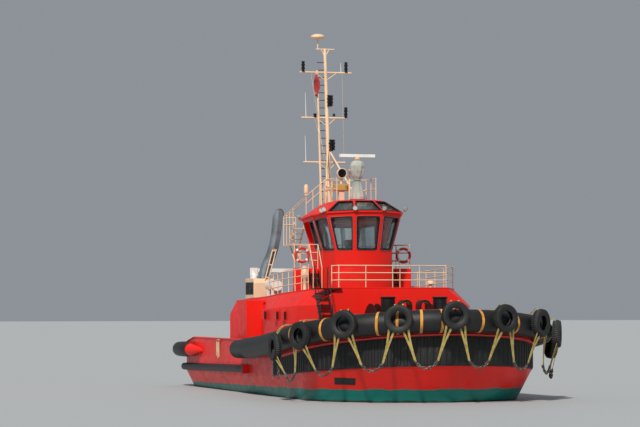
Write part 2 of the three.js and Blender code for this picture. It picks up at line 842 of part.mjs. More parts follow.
// Two stringers with flat treads between them, going down forward.
function stair({ top, foot, y, width, treads }) {
  const depth = 130;
  const plate = 30;
  const tread = { aft: 190, fore: 20, thick: 70 };
  const run = [foot[0] - top[0], foot[1] - top[1]];
  const outline = [
    [top[0], top[1]],
    [foot[0], foot[1]],
    [foot[0] - depth, foot[1]],
    [top[0], top[1] - (depth * -run[1]) / run[0]],
  ];
  const stringers = [-1, 1].map((s) => {
    const yMid = y + (s * (width - plate)) / 2;
    return loft([-1, 1].map((e) => outline.map(([x, z]) => [x, yMid + (e * plate) / 2, z])));
  });
  const steps = Array.from({ length: treads }, (_, i) => {
    const share = (i + 0.75) / (treads + 0.5);
    const [x, z] = [top[0] + run[0] * share, top[1] + run[1] * share];
    return box(x - tread.aft, x + tread.fore, y - width / 2 + 5, y + width / 2 - 5, z - tread.thick, z);
  });
  return union([...stringers, ...steps]);
}

// The lower stair lands on a plate over the deckhouse's sloping corner
const LOWER_STAIR = { y: -3200, width: 560, topX: 6300, topZ: 4600, footX: 8000, treads: 11 };

function lowerStair() {
  const { y, width, topX, topZ, footX, treads } = LOWER_STAIR;
  const steps = stair({ top: [topX, topZ], foot: [footX, deckAt(footX) - 40], y, width, treads });
  const plate = box(5500, topX + 10, y - width / 2, -2300, topZ - 40, topZ + 4);
  return onDeck(steps.add(plate)).subtract(houseBody(-SEAT, -SEAT));
}

// An upper stair goes from the deckhouse's top to the landing.
const UPPER_STAIR = { y: -1795, width: 430, reach: 600, treads: 4 };

function upperStair() {
  const { y, width, reach, treads } = UPPER_STAIR;
  const head = LANDING.x1 + SEAT;
  const footX = head + reach;
  const steps = stair({ top: [head, FLOOR - 60], foot: [footX, houseTopAt(footX) - 20], y, width, treads });
  return onHouse(steps).intersect(box(head, FAR, -FAR, FAR, 0, FAR));
}

// Wheelhouse

const FLOOR = 5500;
const SILL = 6220;
const EAVES = 7920;
const WINDOW_LOW = 6300;
const WINDOW_HIGH = 7740;
const WINDOW_POST = 105; // half of the post left between two windows
const WALL = 80;
// Eaves corners of the starboard half from forward aft, with the distance that
// each following wall leans out between the sill and the eaves
const EAVES_PLAN = [
  { x: 2710, y: -640, lean: 310 },
  { x: 2090, y: -1710, lean: 440 },
  { x: 800, y: -2040, lean: 490 },
  { x: -920, y: -2040, lean: 420 },
  { x: -2150, y: -1150, lean: 200 },
];
const FRONT_LEAN = 300;

const starboardEaves = EAVES_PLAN.map(({ x, y }) => [x, y]);
const portEaves = starboardEaves.map(([x, y]) => [x, -y]).reverse();
const eavesPlan = [...starboardEaves, ...portEaves];
const starboardLeans = EAVES_PLAN.map(({ lean }) => lean);
const wallLeans = [...starboardLeans, ...starboardLeans.slice(0, -1).reverse(), FRONT_LEAN];

// A convex outline with each wall moved inwards by its own distance.
function inset(outline, distances) {
  const n = outline.length;
  const centre = [0, 1].map((k) => outline.reduce((sum, p) => sum + p[k], 0) / n);
  const lines = outline.map((a, i) => {
    const b = outline[(i + 1) % n];
    const [dx, dy] = [b[0] - a[0], b[1] - a[1]];
    const length = Math.hypot(dx, dy);
    let normal = [-dy / length, dx / length];
    const toCentre = (centre[0] - a[0]) * normal[0] + (centre[1] - a[1]) * normal[1];
    if (toCentre < 0) normal = [-normal[0], -normal[1]];
    return { normal, offset: normal[0] * a[0] + normal[1] * a[1] + distances[i] };
  });
  return lines.map((line, i) => {
    const before = lines[(i + n - 1) % n];
    const [a, b] = [before.normal, line.normal];
    const det = a[0] * b[1] - a[1] * b[0];
    return [
      (before.offset * b[1] - line.offset * a[1]) / det,
      (a[0] * line.offset - b[0] * before.offset) / det,
    ];
  });
}

const evenly = (distance) => eavesPlan.map(() => distance);
const sillPlan = inset(eavesPlan, wallLeans);

// The eaves and the roof fall towards the stern
const FALL = { x: 2710, slope: 0.075 };
const fallAt = (x) => FALL.slope * (FALL.x - x);

// A solid sheared to that fall
function fallen(made) {
  return made.warp((point) => {
    point[2] -= fallAt(point[0]);
  });
}

// What lies under a level that has the eaves' fall
const underFall = (level) => fallen(box(-FAR, FAR, -FAR, FAR, 0, level));

// The wheelhouse's body with its walls moved in by a distance.
function cabBody(distance, low = FLOOR, high = EAVES) {
  const slope = wallLeans.map((lean) => lean / (EAVES - SILL));
  const planAt = (z) =>
    inset(
      eavesPlan,
      slope.map((s) => s * (EAVES - Math.max(z, SILL)) + distance),
    );
  const heights = low < SILL ? [low, SILL, high] : [low, high];
  return loft(heights.map((z) => planAt(z).map(([x, y]) => [x, y, z])));
}

// The recess of each side door: upright, in the side wall
const RECESS = { x0: -920, x1: 20, y: 1545, top: 7790 };
const DOOR = { x0: -830, x1: -50, z0: 5600, z1: 7320, thick: 60, gap: 10 };
const cabHinges = () => {
  const { x1, z0, z1, gap } = DOOR;
  const pair = hinges([z0 + 300, z1 - 300]);
  const place = (piece) => piece.translate([x1 + gap / 2, -RECESS.y, 0]);
  return { leaf: place(pair.leaf), frame: place(pair.frame) };
};

// A window through the wall between two corners of the plan.
function windowCut(i, low, high, from = 0, to = 1) {
  const n = eavesPlan.length;
  const corners = [low, high].flatMap((level) => {
    const at = (k) => {
      const z = level === high ? level - fallAt(eavesPlan[k][0]) : level;
      const share = (EAVES - z) / (EAVES - SILL);
      return [...eavesPlan[k].map((v, axis) => v + (sillPlan[k][axis] - v) * share), z];
    };
    const [a, b] = [at(i), at((i + 1) % n)];
    const length = Math.hypot(b[0] - a[0], b[1] - a[1]);
    const along = (d) => a.map((v, axis) => v + ((b[axis] - v) * d) / length);
    return [along(from * length + WINDOW_POST), along(to * length - WINDOW_POST)];
  });
  const [a, b, c, d] = corners.map((p) => new THREE.Vector3(...p));
  const normal = b.clone().sub(a).cross(d.clone().sub(a)).normalize().multiplyScalar(200);
  const ring = [a, b, d, c];
  return loft([-1, 1].map((s) => ring.map((p) => p.clone().addScaledVector(normal, s).toArray())));
}

const SIDE_WALL = 2; // index of the starboard side wall among the plan's walls
const FRONT_WALL = eavesPlan.length - 1;
const PORT_SIDE_WALL = eavesPlan.length - 2 - SIDE_WALL;

function cabWindows() {
  const cuts = eavesPlan.map((_, i) => {
    if (i === SIDE_WALL) return windowCut(i, WINDOW_LOW, WINDOW_HIGH, 0, 0.48);
    if (i === PORT_SIDE_WALL) return windowCut(i, WINDOW_LOW, WINDOW_HIGH, 0.52, 1);
    return windowCut(i, WINDOW_LOW, WINDOW_HIGH);
  });
  return union(cuts);
}

function cabWalls() {
  const outer = cabBody(0, FLOOR + SEAT).intersect(underFall(EAVES));
  const shell = outer.subtract(cabBody(WALL, 0, EAVES + 100));
  const { x0, x1, y, top } = RECESS;
  const recess = box(x0, x1, -FAR, -y, 0, FAR).intersect(underFall(top));
  const lining = outer
    .intersect(box(x0 - WALL, x1 + WALL, -FAR, -(y - WALL), FLOOR, FAR))
    .subtract(recess);
  const doorway = box(
    DOOR.x0 - DOOR.gap,
    DOOR.x1 + DOOR.gap,
    -FAR,
    0,
    DOOR.z0 - DOOR.gap,
    DOOR.z1 + DOOR.gap,
  );
  const lugs = cabHinges().frame.intersect(box(-FAR, x1 + 10, -FAR, 0, 0, FAR));
  const frame = lining.subtract(doorway).add(lugs);
  const rest = shell
    .subtract(box(x0 - WALL - SEAT, x1 + WALL + SEAT, -FAR, FAR, FLOOR - 200, FAR))
    .subtract(cabWindows());
  const middle = (x0 + x1) / 2;
  return {
    front: rest.intersect(box(middle, FAR, -FAR, FAR, 0, FAR)),
    aft: rest.intersect(box(-FAR, middle, -FAR, FAR, 0, FAR)),
    frame,
  };
}

function cabDoor() {
  const { x0, x1, z0, z1, thick } = DOOR;
  const outerFace = -RECESS.y + 5;
  const leaf = box(x0, x1, outerFace, outerFace + thick, z0, z1);
  const glass = box(x0 + 120, x1 - 120, -FAR, 0, WINDOW_LOW + 60, z1 - 130);
  return leaf.subtract(glass).add(cabHinges().leaf);
}

// The base under the wheelhouse, with a landing on each side
const LANDING = { x0: -2500, x1: 350, aft: 1950, fore: 2730 };
const BASE_LOW = HOUSE_TOP_FRONT - 600; // cut away later by the deckhouse's top

function base() {
  const { x0, x1, aft, fore } = LANDING;
  const wings = upright(
    [
      [x0, -aft],
      [x1, -fore],
      [x1, fore],
      [x0, aft],
    ],
    BASE_LOW,
    FLOOR,
  );
  return onHouse(wings.add(upright(sillPlan, BASE_LOW, FLOOR)));
}

const baseSolid = base();

// Glass: bands of panes on the walls' inside, held behind the posts
const PANE = 12;

function glassBand(distance) {
  const band = cabBody(distance, WINDOW_LOW - 60, WINDOW_HIGH + 60);
  const hollow = cabBody(distance + PANE, WINDOW_LOW - 200, WINDOW_HIGH + 200);
  return band.subtract(hollow).intersect(underFall(WINDOW_HIGH + 60));
}

function cabGlass() {
  const band = glassBand(WALL + SEAT);
  const margin = WALL + 2 * SEAT;
  return {
    front: band.intersect(box(RECESS.x1 + margin, FAR, -FAR, FAR, 0, FAR)),
    aft: band.intersect(box(-FAR, RECESS.x0 - margin, -FAR, FAR, 0, FAR)),
  };
}

// Roof: a fascia on the eaves, slopes with three windows, and a flat top
const FASCIA = 60;
const RIM_Z = 8550;
const RIM_INSET = 830;
const ROOF_WALL = 60;
const EAVES_OUT = 60;

function roofBody(distance, low, high) {
  const planAt = (z) => {
    const share = Math.max(0, z - EAVES - FASCIA) / (RIM_Z - EAVES - FASCIA);
    return inset(eavesPlan, evenly(distance - EAVES_OUT + share * RIM_INSET));
  };
  const heights = [low, EAVES + FASCIA - distance * 0.5, high];
  return loft(heights.map((z) => planAt(z).map(([x, y]) => [x, y, z])));
}

// A window in the roof's slope above wall i, between two shares of the slope.
const ROOF_WINDOW = { low: 0.04, high: 0.88, post: 60 };

function roofWindow(i) {
  const n = eavesPlan.length;
  const shares = [ROOF_WINDOW.low, ROOF_WINDOW.high];
  const [low, high] = shares.map((share) => inset(eavesPlan, evenly(-EAVES_OUT + RIM_INSET * share)));
  const heights = shares.map((share) => EAVES + FASCIA + share * (RIM_Z - EAVES - FASCIA));
  const pinch = (a, b) => {
    const share = ROOF_WINDOW.post / Math.hypot(b[0] - a[0], b[1] - a[1]);
    const step = [(b[0] - a[0]) * share, (b[1] - a[1]) * share];
    return [
      [a[0] + step[0], a[1] + step[1]],
      [b[0] - step[0], b[1] - step[1]],
    ];
  };
  const [a, b] = pinch(low[i], low[(i + 1) % n]);
  const [d, c] = pinch(high[i], high[(i + 1) % n]);
  const ring = [
    [...a, heights[0]],
    [...b, heights[0]],
    [...c, heights[1]],
    [...d, heights[1]],
  ].map((p) => new THREE.Vector3(...p));
  const normal = ring[1].clone().sub(ring[0]).cross(ring[3].clone().sub(ring[0]));
  normal.normalize().multiplyScalar(160);
  return loft([-1, 1].map((s) => ring.map((p) => p.clone().addScaledVector(normal, s).toArray())));
}

const ROOF_WINDOWS = [FRONT_WALL, 0, eavesPlan.length - 2];

function roof() {
  const outer = roofBody(0, EAVES + SEAT, RIM_Z);
  const inner = roofBody(ROOF_WALL + EAVES_OUT, EAVES - 100, RIM_Z - ROOF_WALL);
  return fallen(outer.subtract(inner).subtract(union(ROOF_WINDOWS.map(roofWindow))));
}

// Everything under the roof's upper face and a seat's gap above it
const underRoof = fallen(roofBody(-SEAT, EAVES - 500, RIM_Z + SEAT));

function roofGlass() {
  const distance = ROOF_WALL + EAVES_OUT + SEAT;
  const band = roofBody(distance, EAVES + 40, RIM_Z - ROOF_WALL - SEAT);
  const hollow = roofBody(distance + PANE, EAVES - 300, RIM_Z - ROOF_WALL - 20);
  const shell = band.subtract(hollow).subtract(box(-FAR, 1350, -FAR, FAR, 0, FAR));
  return fallen(shell.intersect(box(-FAR, FAR, -FAR, FAR, EAVES + 50, RIM_Z - 70)));
}

// What stands inside the wheelhouse
function helmConsole() {
  return loft(
    [
      [900, FLOOR + SEAT],
      [900, FLOOR + 780],
      [760, FLOOR + 900],
    ].map(([x, z]) => [
      [x, -800, z],
      [1720, -560, z],
      [1720, 560, z],
      [x, 800, z],
    ]),
  );
}

function chair() {
  const pedestal = rod([150, 0, FLOOR + SEAT], [150, 0, FLOOR + 520], 70, 12);
  const foot = rod([150, 0, FLOOR + SEAT], [150, 0, FLOOR + 50], 260, 12);
  const seat = box(-130, 390, -260, 260, FLOOR + 480, FLOOR + 620);
  const back = box(-180, -60, -250, 250, FLOOR + 560, FLOOR + 1300);
  return union([pedestal, foot, seat, back]);
}

// Mast: a raked post with a ladder beside it, cross bars and stays to the roof
const MAST_FOOT_X = -2750;
const MAST_FOOT_Z = 4200;
const MAST_TOP_Z = 15650;
const MAST_RAKE = 0.112; // how far it leans aft for each step up
const LADDER_Y = -430;
// Cross bars: height, ends to starboard and to port, thickness
const CROSS_BARS = [
  { z: 15620, from: -420, to: 450, radius: 30 },
  { z: 14540, from: -1230, to: 1230, radius: 40 },
  { z: 12440, from: -1220, to: 920, radius: 40 },
  { z: 10390, from: -1200, to: 800, radius: 40 },
];

// The flat round aerial on the top bar
const AERIAL = {
  y: -340,
  z: 16080,
  profile: [
    [0, 0],
    [200, 10],
    [330, 70],
    [300, 170],
    [160, 230],
    [0, 240],
  ],
};

// The flag, and the block on the second bar that carries it
const FLAG = { y: -460, ahead: 110, width: 330, low: 13360, thick: 60 };
const FLAG_BLOCK = { length: 140, half: 25, low: 14440 };

const mastAt = (z) => MAST_FOOT_X - (z - MAST_FOOT_Z) * MAST_RAKE;

function mast() {
  const post = rod([mastAt(3900), 0, 3900], [mastAt(MAST_TOP_Z), 0, MAST_TOP_Z], 130, 10, 70);
  const second = rod([mastAt(3900), LADDER_Y, 3900], [mastAt(15000), LADDER_Y, 15000], 60, 8, 45);
  const rungs = [];
  for (let z = 5200; z < 15000; z += 700) {
    rungs.push(rod([mastAt(z), 0, z], [mastAt(z), LADDER_Y, z], 18, 4));
  }
  const bars = CROSS_BARS.map(({ z, from, to, radius }) =>
    rod([mastAt(z), from, z], [mastAt(z), to, z], radius, 6),
  );
  const flagBar = CROSS_BARS[1].z;
  const block = box(
    mastAt(flagBar),
    mastAt(flagBar) + FLAG_BLOCK.length,
    FLAG.y - FLAG_BLOCK.half,
    FLAG.y + FLAG_BLOCK.half,
    FLAG_BLOCK.low,
    flagBar,
  );
  const struts = [-1, 1].map((s) => rod([-870, s * 900, RIM_Z - 450], [mastAt(11000), s * 20, 11000], 45, 6));
  const aerial = [mastAt(MAST_TOP_Z), AERIAL.y];
  const foot = rod([...aerial, MAST_TOP_Z - 60], [...aerial, AERIAL.z + 30], 30, 6);
  const cover = turned(
    AERIAL.profile.map(([radius, lift]) => [radius, AERIAL.z + lift]),
    16,
  ).translate([...aerial, 0]);
  const whole = union([post, second, ...rungs, ...bars, ...struts, block, foot, cover]);
  return onHouse(whole).subtract(underRoof);
}

// Radar: a post on the roof under a canvas cover, with the turning scanner on top
const RADAR_X = 1000;
const RADAR_TOP = 10330;
const RADAR_FOOT = RIM_Z - fallAt(RADAR_X) + 60;

function radarMast() {
  const post = rod([RADAR_X, 0, RADAR_FOOT - 60], [RADAR_X, 0, RADAR_TOP], 90, 12);
  const foot = rod([RADAR_X, 0, RADAR_FOOT - 120], [RADAR_X, 0, RADAR_FOOT], 300, 16);
  const head = rod([RADAR_X, 0, RADAR_TOP - 40], [RADAR_X, 0, RADAR_TOP + 60], 150, 16);
  const spindle = pin([RADAR_X, 0, RADAR_TOP], [RADAR_X, 0, RADAR_TOP + 130], 40);
  return union([post, foot, head, spindle]).subtract(underRoof);
}

function radarCover() {
  const [low, high] = [RADAR_FOOT + SEAT, RADAR_TOP - 60];
  const core = 96;
  return turned(
    [
      [core, low],
      [330, low],
      [360, low + 120],
      [250, low + 620],
      [330, low + 760],
      [370, low + 1100],
      [330, high - 120],
      [180, high],
      [core, high],
      [core, low],
    ],
    20,
  ).translate([RADAR_X, 0, 0]);
}

function radarScanner() {
  const arm = box(-110, 110, -800, 800, RADAR_TOP + 66, RADAR_TOP + 200);
  const bore = pin([0, 0, RADAR_TOP], [0, 0, RADAR_TOP + 136], boreFor(40));
  return arm.subtract(bore).translate([RADAR_X, 0, 0]);
}

// Searchlight on its box
const LIGHT = { x: -500, y: -280, z: 9750, radius: 225, length: 340 };

function lightStand() {
  const { x, y, z } = LIGHT;
  const stem = box(x - 120, x + 120, y - 120, y + 120, RIM_Z - 400, 8990);
  const head = box(x - 200, x + 200, y - 330, y + 330, 8980, 9270);
  const spindle = pin([x, y, 9260], [x, y, z - 290], 40);
  return union([stem, head, spindle]).subtract(underRoof);
}

function searchlight() {
  const { x, y, z, radius, length } = LIGHT;
  const drum = rod([x - length / 2, y, z], [x + length / 2, y, z], radius, 20);
  const neck = rod([x, y, z - 330], [x, y, z - radius + 30], 70, 12);
  const bore = pin([x, y, z - 400], [x, y, z - 284], boreFor(40));
  return drum.add(neck).subtract(bore);
}

// Rails

const RAIL_R = 21;
const RAIL_SIDES = 4;

// Posts and level bars along a line of [x, y, z] feet; the posts reach below them.
function rail(line, height, bars, spacing, below = 80) {
  const pieces = [];
  for (let i = 1; i < line.length; i++) {
    const [a, b] = [line[i - 1], line[i]];
    for (let bar = 1; bar <= bars; bar++) {
      const lift = (height * bar) / bars;
      pieces.push(rod([a[0], a[1], a[2] + lift], [b[0], b[1], b[2] + lift], RAIL_R, RAIL_SIDES));
    }
    const length = Math.hypot(b[0] - a[0], b[1] - a[1]);
    const count = Math.max(1, Math.round(length / spacing));
    for (let k = i === 1 ? 0 : 1; k <= count; k++) {
      const p = a.map((v, axis) => v + ((b[axis] - v) * k) / count);
      pieces.push(rod([p[0], p[1], p[2] - below], [p[0], p[1], p[2] + height + 5], RAIL_R + 2, RAIL_SIDES));
    }
  }
  return union(pieces);
}

const HOUSE_RAIL_HEIGHT = 920;

// The starboard rail's ends on either side of the stairs
const RAIL_GAP = { fore: [5750, -2585], aft: [4100, -3140] };

function houseRail() {
  const onTop = ([x, y]) => [x, y, houseTopAt(x)];
  const edge = housePlan("top", 60).map(onTop);
  const fore = rail([...edge.slice(6), edge[0], onTop(RAIL_GAP.fore)], HOUSE_RAIL_HEIGHT, 3, 1400);
  const aft = rail([onTop(RAIL_GAP.aft), ...edge.slice(2, 4)], HOUSE_RAIL_HEIGHT, 3, 1900);
  return { fore: onHouse(fore), aft: onHouse(aft) };
}

const LANDING_RAIL_HEIGHT = 1050;
const LANDING_RAIL_IN = 60;

function landingRail() {
  const { x0, x1, aft, fore } = LANDING;
  const stairEdge = -UPPER_STAIR.y + UPPER_STAIR.width / 2 + 20;
  const starboard = [
    [x1 - LANDING_RAIL_IN, -stairEdge, FLOOR],
    [x1 - LANDING_RAIL_IN, -(fore - LANDING_RAIL_IN), FLOOR],
    [x0 + LANDING_RAIL_IN, -(aft - LANDING_RAIL_IN), FLOOR],
  ];
  const port = starboard.map(([x, y, z]) => [x, -y, z]).reverse();
  const guard = rail([...starboard, ...port], LANDING_RAIL_HEIGHT, 3, 1400);
  return guard.add(roofStair()).subtract(baseSolid.translate([0, 0, SEAT]));
}

// The raised platform behind the landing, with steps and sloping rails that go
// up forward to the roof's edge
const PERCH = { x0: -3400, x1: -2400, y0: -2130, y1: -1560, z: 6600, rail: 7870 };
const PERCH_HEAD = { x: -1250, y: -1690, z: 8750 };

function roofStair() {
  const { x0, x1, y0, y1, z, rail: top } = PERCH;
  const floor = box(x0, x1, y0, y1, z - 40, z);
  const bar = (from, to, radius = RAIL_R) => rod(from, to, radius, RAIL_SIDES);
  const post = [LANDING.x0 + LANDING_RAIL_IN, -(LANDING.aft - LANDING_RAIL_IN)];
  const legs = [post[1], y1 - 60].flatMap((y) => [
    bar([post[0], y, FLOOR - 60], [post[0], y, z - 10], 35),
    bar([post[0], y, z - 700], [x0 + 200, y, z - 20], 30),
  ]);
  const along = (share, lift) => [
    x0 + (PERCH_HEAD.x - x0) * share,
    y0 + (PERCH_HEAD.y - y0) * share,
    top + (PERCH_HEAD.z - top) * share + lift,
  ];
  const sloping = [0, -110].map((lift) => bar(along(0, lift), along(1, lift)));
  const balusters = [0, 0.13, 0.27, 0.42].map((share) => {
    const [x, y, high] = along(share, 0);
    return bar([x, Math.max(y, y0 + RAIL_R), z - 30], [x, y, high]);
  });
  const head = along(1, 0);
  const stanchion = bar([head[0], head[1], EAVES - 400], head);
  const eaves = EAVES - fallAt(x1 + 500);
  const far = [x0, y1, z];
  const guards = [
    bar([far[0], far[1], z - 30], [far[0], far[1], top]),
    bar([x0, y0, top - 20], [far[0], far[1], top - 20]),
    bar([x0, y0, (z + top) / 2 + 270], [far[0], far[1], (z + top) / 2 + 270]),
    bar([x0, y0, (z + top) / 2 + 270], [x1, y0 + 190, (z + top) / 2 + 270]),
  ];
  const steps = [1, 2, 3].map((i) => {
    const lift = (eaves - z) * (i / 4);
    const x = x1 - 420 + i * 220;
    return box(x, x + 230, y0 + 60, y1, z + lift - 30, z + lift);
  });
  const stringers = [y0 + 60, y1 - 30].map((y) => {
    const outline = [
      [x1 - 420, z - 30],
      [x1 - 250, z - 30],
      [x1 + 560, eaves - 60],
      [x1 + 470, eaves + 40],
    ];
    return loft([y, y + 30].map((side) => outline.map(([px, pz]) => [px, side, pz])));
  });
  const rails = [...sloping, ...balusters, stanchion, ...guards];
  const frame = union([floor, ...legs, ...rails, ...steps, ...stringers]);
  return frame.subtract(underRoof).subtract(cabBody(-SEAT));
}

const ROOF_RAIL_TOP = 920;

function roofRail() {
  const line = [
    [900, -900, RIM_Z],
    [-700, -950, RIM_Z],
    [-1150, -500, RIM_Z],
    [-1150, 500, RIM_Z],
    [-700, 950, RIM_Z],
    [900, 900, RIM_Z],
  ];
  return rail(line, ROOF_RAIL_TOP, 2, 800, 400).subtract(underRoof);
}

// Exhausts: a casing on each side with a bent pipe, and its bracket
const CASING = { x0: -7400, x1: -5800, y0: 1900, y1: 3000, top: 5100 };
const PIPE_R = 240;
// The pipe's end is cut at a slant, from its fore edge down aft.
const EXHAUST_CUT = { x: -5770, z: 8320, angle: 50 };

function casing() {
  const { x0, x1, y0, y1, top } = CASING;
  const body = loft(
    [
      [x1, 3600],
      [x1, 4900],
      [x1 - 180, top],
    ].map(([fore, z]) => [
      [x0, y0, z],
      [fore, y0, z],
      [fore, y1 - 120, z],
      [x0, y1 - 120, z],
    ]),
  );
  return onHouse(body);
}

function exhaust() {
  const path = new THREE.CatmullRomCurve3(
    [
      [-6400, 2280, CASING.top + SEAT],
      [-6400, 2200, 5500],
      [-6260, 1900, 6300],
      [-6180, 1770, 6900],
      [-6000, 1650, 8450],
    ].map((p) => new THREE.Vector3(...p)),
  );
  const section = new THREE.Shape();
  section.absarc(0, 0, PIPE_R, 0, 2 * Math.PI);
  const g = new THREE.ExtrudeGeometry(section, {
    steps: 8,
    curveSegments: 4,
    bevelEnabled: false,
    extrudePath: path,
  });
  const under = box(-FAR, FAR, -FAR, FAR, 0, CASING.top + SEAT);
  const above = box(-2000, 2000, -FAR, FAR, 0, 2000);
  const slant = above.rotate([0, -EXHAUST_CUT.angle, 0]).translate([EXHAUST_CUT.x, 0, EXHAUST_CUT.z]);
  return solid(g).subtract(under).subtract(slant);
}

// Life raft in its canister on a cradle
function lifeRaft() {
  const [x, y] = [-4500, -2300];
  const top = houseTopAt(x);
  const canister = rod([x - 600, y, top + 520], [x + 600, y, top + 520], 250, 18);
  const feet = [-380, 380].map((d) =>
    box(x + d - 40, x + d + 40, y - 220, y + 220, top - 200, top + 400),
  );
  return onHouse(union([canister, ...feet]));
}

// Deck crane: a pedestal, a head that slews and an arm that luffs, stowed to port
const CRANE = { x: -8400, y: -2200, seat: 4900, hinge: 5500, reach: 2600 };
const CRANE_PIN_R = 38;

function cranePedestal() {
  const { x, y, seat } = CRANE;
  const post = rod([x, y, 3900], [x, y, seat], 190, 16);
  const spindle = pin([x, y, seat - 20], [x, y, seat + 200], 90);
  return onHouse(post.add(spindle));
}

function craneHead() {
  const { x, y, seat, hinge } = CRANE;
  const post = rod([x, y, seat + RUNNING], [x, y, hinge - 180], 170, 16);
  const bore = pin([x, y, seat], [x, y, seat + 210], boreFor(90));
  const cheeks = [-1, 1].map((s) =>
    box(x + s * 120 - 20, x + s * 120 + 20, y - 150, y + 150, hinge - 260, hinge + 120),
  );
  const hingePin = pin([x - 139, y, hinge], [x + 139, y, hinge], CRANE_PIN_R);
  return union([post.subtract(bore), ...cheeks, hingePin]);
}

function craneArm() {
  const { x, y, hinge, reach } = CRANE;
  const arm = box(x - 85, x + 85, y - 120, y + reach, hinge - 80, hinge + 90);
  const tip = box(x - 60, x + 60, y + reach - 120, y + reach, hinge - 260, hinge - 60);
  const bore = pin([x - 200, y, hinge], [x + 200, y, hinge], boreFor(CRANE_PIN_R));
  return union([arm, tip]).subtract(bore);
}

// Towing winch on the fore deck: a rope drum between two pairs of discs
const WINCH = { x: 7600, z: 3000, flange: 960, half: 1470, inner: 1180, core: 560, neck: 380, shaft: 90 };
const WINCH_DISC = 50;

function winchFrame() {
  const { x, z, half, shaft } = WINCH;
  const stands = [-1, 1].map((s) => {
    const y = s * (half + 90);
    const outline = [
      [x - 620, 1500],
      [x + 620, 1500],
      [x + 200, z + 260],
      [x - 200, z + 260],
    ];
    return loft([-1, 1].map((e) => outline.map(([px, pz]) => [px, y + e * 45, pz])));
  });
  const bed = [-480, 480].map((d) => box(x + d - 110, x + d + 110, -half - 100, half + 100, 1300, 1920));
  const bore = pin([x, -2000, z], [x, 2000, z], boreFor(shaft));
  return onDeck(union([...stands, ...bed]).subtract(bore));
}

function winchDrum() {
  const { x, z, flange, half, inner, core, neck, shaft } = WINCH;
  const end = half + 130;
  const side = [
    [core, inner - WINCH_DISC],
    [flange, inner - WINCH_DISC],
    [flange, inner],
    [neck, inner],
    [neck, half - WINCH_DISC],
    [flange, half - WINCH_DISC],
    [flange, half],
    [shaft, half],
    [shaft, end],
    [0, end],
  ];
  const profile = [...side.map(([r, h]) => [r, -h]).reverse(), ...side];
  const points = profile.map(([r, h]) => new THREE.Vector2(r, h));
  return solid(new THREE.LatheGeometry(points, PIN_SIDES)).translate([x, 0, z]);
}

// Two posts with a cross beam
function bitts({ x, y, radius, top, beam }) {
  const posts = [-1, 1].map((s) => rod([x, s * y, 700], [x, s * y, top], radius, 18));
  const across = rod([x, -y - radius, beam], [x, y + radius, beam], radius * 0.55, 12);
  return union([...posts, across]);
}

const STERN_BITTS = { x: -10600, y: 700, radius: 170, top: 2250, beam: 1800 };

// Forward the towline runs through two arches between the posts.
const TOWING_BITTS = { x: 8950, y: 1130, radius: 290, top: 4200, beam: 2750 };
const GUIDE = { y: 400, outer: 235, inner: 165, top: 4110, depth: 600 };

function towingBitts() {
  const { y, outer, inner, top, depth } = GUIDE;
  const spring = top - outer;
  const arch = new THREE.Shape();
  arch.moveTo(-outer, 1000);
  arch.lineTo(-inner, 1000);
  arch.lineTo(-inner, spring);
  arch.absarc(0, spring, inner, Math.PI, 0, true);
  arch.lineTo(inner, 1000);
  arch.lineTo(outer, 1000);
  arch.lineTo(outer, spring);
  arch.absarc(0, spring, outer, 0, Math.PI, false);
  const g = new THREE.ExtrudeGeometry(arch, { depth, curveSegments: 5, bevelEnabled: false });
  g.rotateX(Math.PI / 2);
  g.rotateZ(Math.PI / 2);
  const guide = solid(g).translate([TOWING_BITTS.x - depth / 2, 0, 0]);
  return onDeck(union([bitts(TOWING_BITTS), guide.translate([0, -y, 0]), guide.translate([0, y, 0])]));
}

// Thrusters
const NOZZLE = { outer: 1190, inner: 1040, x0: -1130, x1: -150 };
const BLADE_R = 1000;

function thruster() {
  const top = THRUSTER_PAD_Z - RUNNING;
  const collar = rod([0, 0, top - 160], [0, 0, top], 560, 24);
  const spindle = pin([0, 0, top - 100], [0, 0, THRUSTER_PAD_Z + 240], STEM_SHAFT_R);
  const leg = rod([0, 0, PROPELLER_Z], [0, 0, top - 100], 230, 16, 320);
  const pod = turned(
    [
      [0, -420],
      [200, -420],
      [300, -250],
      [320, 150],
      [230, 480],
      [0, 640],
    ],
    20,
    "x",
  ).translate([0, 0, PROPELLER_Z]);
  const shaft = pin([-650, 0, PROPELLER_Z], [-300, 0, PROPELLER_Z], 80);
  const { outer, inner, x0, x1 } = NOZZLE;
  const nozzle = turned(
    [
      [inner, x0],
      [inner + 40, x0],
      [outer - 30, x1 - 250],
      [outer, x1 - 60],
      [outer - 60, x1],
      [inner, x1 - 120],
      [inner, x0],
    ],
    22,
    "x",
  ).translate([0, 0, PROPELLER_Z]);
  const strut = box(x0 + 500, 0, -40, 40, PROPELLER_Z + inner + 40, PROPELLER_Z + outer + 120);
  const fins = [140, 220, 320, 40].map((angle) => {
    const [c, s] = [Math.cos(degrees(angle)), Math.sin(degrees(angle))];
    return rod(
      [-120, c * 250, PROPELLER_Z + s * 250],
      [-200, c * (inner + 50), PROPELLER_Z + s * (inner + 50)],
      32,
      6,
    );
  });
  return union([collar, spindle, leg, pod, shaft, nozzle, strut, ...fins]);
}

